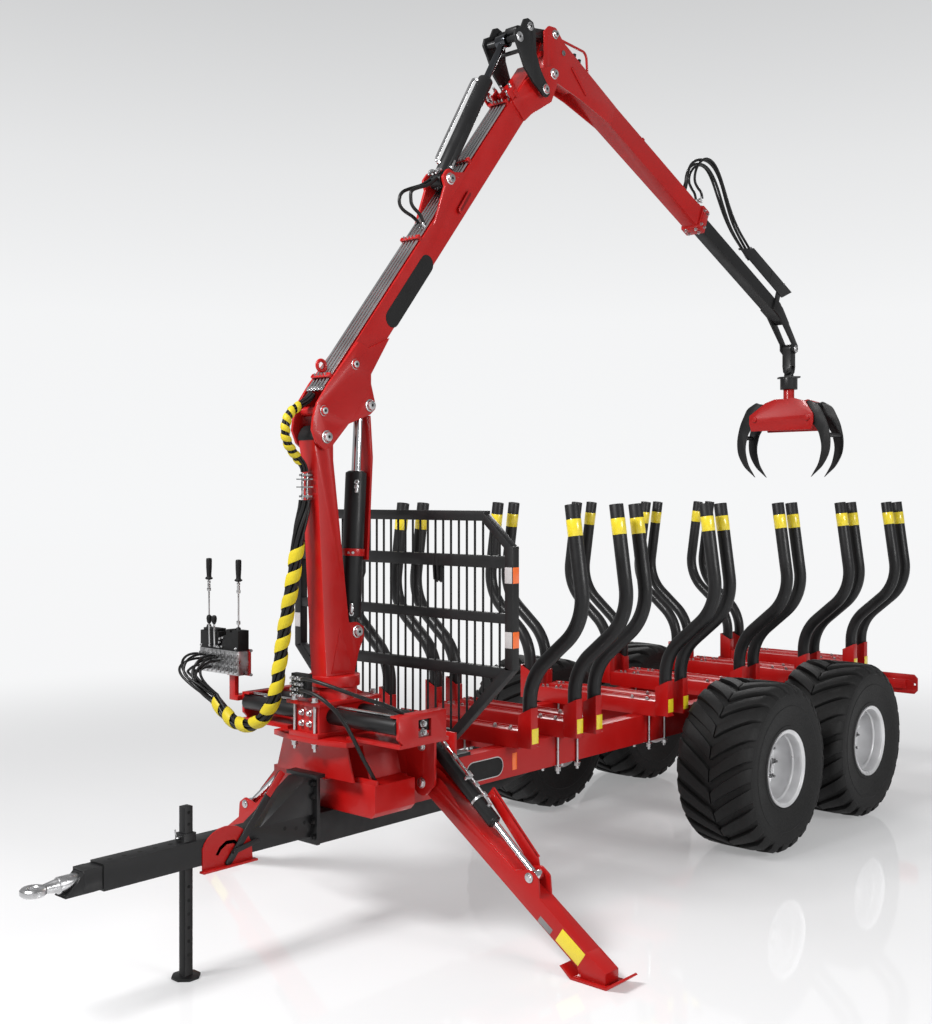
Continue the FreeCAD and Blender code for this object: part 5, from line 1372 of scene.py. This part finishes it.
def base_details():
    nuts = []
    with Workpiece("housing_studs", "zinc plate", "chassis", 0.001) as studs:
        for x in (2246, 1798):
            for y in (-85, 85):
                studs.post(x, y, 1046, 1334, 0.0085, 16)
                nuts += [(point(x, y, 1092), -UP, 1.2), (point(x, y, 1322), UP, 1.2)]
    bolts("housing_stud_nuts", nuts, "chassis", "zinc plate", 0.026, 0.018, 0.0, 0.7)
    face = [(point(2235, y, z), FORWARD, 1.0) for y in (-32, 32) for z in (1195, 1255)]
    face += [(point(1965, side * 646, z), SIDE * side, 1.1) for side in (1, -1) for z in (1190, 1236)]
    bolts("housing_bolts", face, "chassis", "zinc plate", 0.026, 0.018, 0.2, 0.6)
    with Workpiece("rack_pipes", "drawn steel", "chassis") as pipe:
        for side in (1, -1):
            pipe.tube([point(2128, side * y, z) for y, z in (
                (128, 1270), (142, 1286), (165, 1290), (600, 1290), (622, 1286), (630, 1272))], 0.0085, 14)
            pipe.bar(point(2128, side * 112, 1262), point(2128, side * 132, 1272), 0.013, 6)
    with Workpiece("manifold_ports", "zinc plate", "chassis", 0.0006) as ports:
        for z in (1365, 1395, 1425, 1455):
            for y in (-38, 0, 38):
                ports.bar(point(2292, y, z), point(2304, y, z), 0.012, 6)
                ports.bar(point(2304, y, z), point(2318, y, z), 0.0085, 14)


VALVE_LEVERS = (-960, -669)
SHORT_LEVERS = (-877, -828)


def valve_details():
    """The hydraulic valve: a cast block with covers, levers, ports and bolts."""
    with Workpiece("valve_casting", "zinc plate", "chassis", 0.002, ("valve_block",)) as cast:
        cast.block(point(2148, -1000, 1400), point(2229, -620, 1545))
        for y in range(-990, -653, 42):
            cast.block(point(2229, y, 1406), point(2235, y + 30, 1540))
    with Workpiece("valve_covers", "black casting", "chassis", 0.002) as covers:
        covers.across(scaled([
            (-620, 1546), (-620, 1668), (-680, 1668), (-680, 1655), (-700, 1655), (-700, 1672), (-735, 1672),
            (-735, 1632), (-762, 1632), (-790, 1546)]), 2.150, 2.232)
        covers.block(point(2150, -990, 1546), point(2232, -810, 1652))
        covers.block(point(2160, -972, 1651), point(2222, -828, 1667))
        for y in VALVE_LEVERS:
            covers.post(2190, y, 1650, 1684, 0.022, 24, 0.012)
        covers.block(point(2250, -62, 1350), point(2292, 70, 1480))
    with Workpiece("valve_rods", "zinc plate", "chassis", 0.0005) as rods:
        for y in VALVE_LEVERS:
            rods.post(2190, y, 1675, 1968, 0.0052, 14)
            for low, high, radius, sides in ((1701, 1723, 0.012, 6), (1889, 1907, 0.0125, 6),
                                             (1895, 1935, 0.0095, 16), (1938, 1952, 0.0105, 16)):
                rods.post(2190, y, low, high, radius, sides)
        for y in SHORT_LEVERS:
            rods.bar(point(2246, y, 1568), point(2250, y, 1702), 0.0058, 12)
            rods.bar(point(2228, y, 1566), point(2250, y, 1566), 0.008, 12)
        for z, y in ((1566, -770), (1590, -795), (1560, -800), (1612, -790), (1620, -760)):
            rods.bar(point(2232, y, z), point(2242, y, z), 0.008, 6)
    with Workpiece("valve_grips", "black casting", "chassis", 0.0008) as grips:
        for y in VALVE_LEVERS:
            grips.lathe(point(2190, y, 1958), UP, [
                (0.0, 0.0), (0.014, 0.0), (0.0235, 0.006), (0.0235, 0.012), (0.015, 0.018), (0.0145, 0.028),
                (0.0175, 0.075), (0.018, 0.122), (0.0155, 0.132), (0.0, 0.134)], 28)
        for y in SHORT_LEVERS:
            grips.lathe(point(2250, y, 1698), UP, [
                (0.0, 0.0), (0.009, 0.001), (0.0145, 0.014), (0.017, 0.032), (0.015, 0.046), (0.008, 0.053),
                (0.0, 0.054)], 24)
    with Workpiece("valve_ports", "dull steel", "chassis", 0.0008) as ports:
        for y in range(-975, -638, 42):
            for z in (1432, 1472, 1512):
                ports.bar(point(2235, y, z), point(2246, y, z), 0.0145, 6)
    heads = [(point(2143, -611, z), SIDE, 1.0) for z in (1400, 1545)]
    heads += [(point(2232, y, 1560), FORWARD, 0.8) for y in (-980, -820, -640)]
    bolts("valve_bolts", heads, "chassis", "zinc plate", 0.014, 0.010, 0.3, 0.6)


EXTRA_VALVE_HOSES = (
    (-1000, 1506, 2372, 0.0, 10), (-925, 1508, 2405, 1.0, -18), (-835, 1508, 2392, 2.1, 4),
    (-950, 1440, 2382, 3.1, -10), (-860, 1436, 2366, 4.2, 14), (-800, 1500, 2372, 5.2, -6))
CYLINDER_LOOPS = {
    -30: ((1281, 4140), (1313, 4187), (1440, 4218), (1472, 4264), (1451, 4327), (1367, 4365), (1248, 4409),
          (1196, 4450)),
    30: ((1311, 4140), (1329, 4192), (1421, 4238), (1429, 4291), (1425, 4334), (1346, 4367), (1262, 4395),
         (1196, 4450)),
}


def extra_hoses():
    """The thinner hoses between the valve and the bundle, and the two loops at the stick's cylinder."""
    with Workpiece("valve_extra_hoses", "hose rubber", "chassis") as work:
        for row, height, reach, turn, drop in EXTRA_VALVE_HOSES:
            out, rise = 26 * math.cos(turn), 26 * math.sin(turn)
            work.tube(hose_line(f"valve_extra_{-row}", [
                (2244, row, height), (2300, row, height + 6), (reach + 0.3 * out, row * 0.97, height - 20),
                (reach + 26 + 0.6 * out, 0.62 * row - 310, 1425 + drop),
                (2408 + out, -772 + 0.59 * rise, 1345 + 0.8 * rise),
                (2352 + out, -690 + 0.59 * rise, 1276 + 0.8 * rise)]), 0.0078, 12)
    with Workpiece("stick_cylinder_hoses", "hose rubber", "boom") as loops:
        for y, route in CYLINDER_LOOPS.items():
            loops.tube(hose_line(f"loop_{y + 30}", [(x, y, z) for x, z in route]), 0.0108, 14)
    with Workpiece("stick_cylinder_hose_ends", "zinc plate", "boom", 0.0006) as ends:
        for y, ((x, z), *_) in CYLINDER_LOOPS.items():
            ends.bar(point(x, y, z - 30), point(x + 4, y, z + 12), 0.0128, 12)
            ends.post(x, y, z - 45, z - 22, 0.0135, 6)


class TRAILER_OT_base(bpy.types.Operator):
    """Adds the handbrake, the studs, the valve set and its thin hoses"""

    bl_idname = "trailer.base"
    bl_label = "Drawbar and crane base"

    def execute(self, context):
        for step in (brake, drawbar_details, base_details, valve_details, extra_hoses):
            step()
        return {"FINISHED"}


# ---------------------------------------------------------------- stage

CAMERA_PLACE = (6.875, 5.37, 2.466)
CAMERA_AHEAD = Vector((-0.7443, -0.6679, 0.0))
CAMERA_ACROSS = Vector((-0.6679, 0.7443, 0.0))


def camera(scene):
    lens = bpy.data.cameras.new("camera")
    lens.sensor_width = 36.0
    lens.lens = 44.05
    lens.shift_y = -0.01455
    lens.clip_end = 200.0
    scene.camera = placed(lens, "camera")
    turn = Matrix((CAMERA_ACROSS, UP, -CAMERA_AHEAD)).transposed()
    scene.camera.matrix_world = Matrix.Translation(CAMERA_PLACE) @ turn.to_4x4()
    scene.view_settings.view_transform = "Standard"


def lamp(name, place, aim, power, width):
    light = bpy.data.lights.new(name, "AREA")
    light.energy = power
    light.shape = "RECTANGLE"
    light.size = width
    light.size_y = width * 0.6
    thing = placed(light, name)
    thing.location = place
    thing.rotation_euler = (Vector(aim) - Vector(place)).to_track_quat("-Z", "Y").to_euler()


def sky(scene):
    """An even pale light, with a brighter gradient for the camera only."""
    world = bpy.data.worlds.new("studio")
    scene.world = world
    world.use_nodes = True
    tree = world.node_tree
    back = tree.nodes["Background"]
    feed(tree, back, Color=(0.90, 0.90, 0.91, 1), Strength=0.38)
    where = node(tree, "ShaderNodeTexCoord")
    parts = node(tree, "ShaderNodeSeparateXYZ", _0=where.outputs["Generated"])
    ramp = node(tree, "ShaderNodeValToRGB", Fac=parts.outputs["Z"])
    for place, tone in ((0.0, 0.93), (0.14, 0.91), (0.25, 0.80), (0.37, 0.63)):
        ramp.color_ramp.elements.new(place).color = (tone * 0.994, tone, tone * 1.008, 1)
    ramp.color_ramp.elements.remove(ramp.color_ramp.elements[0])
    ramp.color_ramp.elements[-1].color = (0.60, 0.61, 0.62, 1)
    seen = node(tree, "ShaderNodeBackground", Color=ramp.outputs["Color"], Strength=1.0)
    path = node(tree, "ShaderNodeLightPath").outputs
    either = maths(tree, "MAXIMUM", path["Is Camera Ray"], path["Is Transmission Ray"])
    mix = node(tree, "ShaderNodeMixShader", _0=either, _1=back.outputs[0], _2=seen.outputs[0])
    feed(tree, tree.nodes["World Output"], Surface=mix.outputs[0])


def floor():
    """A pale glossy floor that fades into the light behind it."""
    work = bmesh.new()
    bmesh.ops.create_circle(work, cap_ends=True, segments=96, radius=60)
    ground = meshed(work, "floor")
    material, tree, shader = fresh_material("pale_floor")
    feed(tree, shader, Base_Color=(0.78, 0.78, 0.785, 1), Roughness=0.05, Specular_IOR_Level=0.9)
    where = node(tree, "ShaderNodeTexCoord")
    reach = node(tree, "ShaderNodeVectorMath", {"operation": "LENGTH"}, _0=where.outputs["Object"])
    fade = node(tree, "ShaderNodeMapRange", {"interpolation_type": "SMOOTHSTEP"}, From_Min=4.2, From_Max=11.0,
                To_Min=0.30, Value=reach.outputs["Value"])
    haze = node(tree, "ShaderNodeEmission", Color=(0.925, 0.928, 0.935, 1), Strength=1.0)
    blend = node(tree, "ShaderNodeMixShader", _0=fade.outputs["Result"], _1=shader.outputs[0],
                 _2=haze.outputs[0])
    feed(tree, tree.nodes["Material Output"], Surface=blend.outputs[0])
    ground.data.materials.append(material)


class TRAILER_OT_stage(bpy.types.Operator):
    """Sets the camera, the lamps and the pale floor"""

    bl_idname = "trailer.stage"
    bl_label = "Stage"

    def execute(self, context):
        camera(context.scene)
        lamp("key lamp", (8.5, -1.0, 9.0), (0.3, 0.2, 1.5), 1500, 3.6)
        lamp("side lamp", (0.5, 10.5, 5.0), (-0.5, 0.0, 1.4), 560, 4.5)
        lamp("rim lamp", (-8.5, -4.5, 7.5), (-0.5, 0.0, 2.0), 380, 4.0)
        sky(context.scene)
        floor()
        return {"FINISHED"}


# ---------------------------------------------------------------- panel and run

OPERATORS = (TRAILER_OT_stage, TRAILER_OT_hoses, TRAILER_OT_steel, TRAILER_OT_wheels, TRAILER_OT_bed,
             TRAILER_OT_crane, TRAILER_OT_base)


class TRAILER_PT_build(bpy.types.Panel):
    """Lists the steps that build the trailer"""

    bl_idname = "TRAILER_PT_build"
    bl_label = "Timber Trailer"
    bl_space_type = "VIEW_3D"
    bl_region_type = "UI"
    bl_category = "Timber Trailer"

    def draw(self, context):
        layout = self.layout
        for name in ("red", "black", "yellow", "orange", "zinc", "tyre"):
            layout.prop(context.scene.trailer_paint, name)
        for name in ("edge", "lugs", "bar_step", "bar_width", "head", "wrap_step"):
            layout.prop(context.scene.trailer_sizes, name)
        for step in OPERATORS:
            layout.operator(step.bl_idname, text=step.bl_label)


CLASSES = (TRAILER_PG_paint, TRAILER_PG_sizes, *OPERATORS, TRAILER_PT_build)


def register():
    for kind in CLASSES:
        bpy.utils.register_class(kind)
    bpy.types.Scene.trailer_paint = bpy.props.PointerProperty(type=TRAILER_PG_paint)
    bpy.types.Scene.trailer_sizes = bpy.props.PointerProperty(type=TRAILER_PG_sizes)


def unregister():
    del bpy.types.Scene.trailer_paint
    del bpy.types.Scene.trailer_sizes
    for kind in reversed(CLASSES):
        bpy.utils.unregister_class(kind)


def main():
    register()
    for step in OPERATORS:
        getattr(bpy.ops.trailer, step.bl_idname.split(".")[1])()


if __name__ == "__main__":
    main()
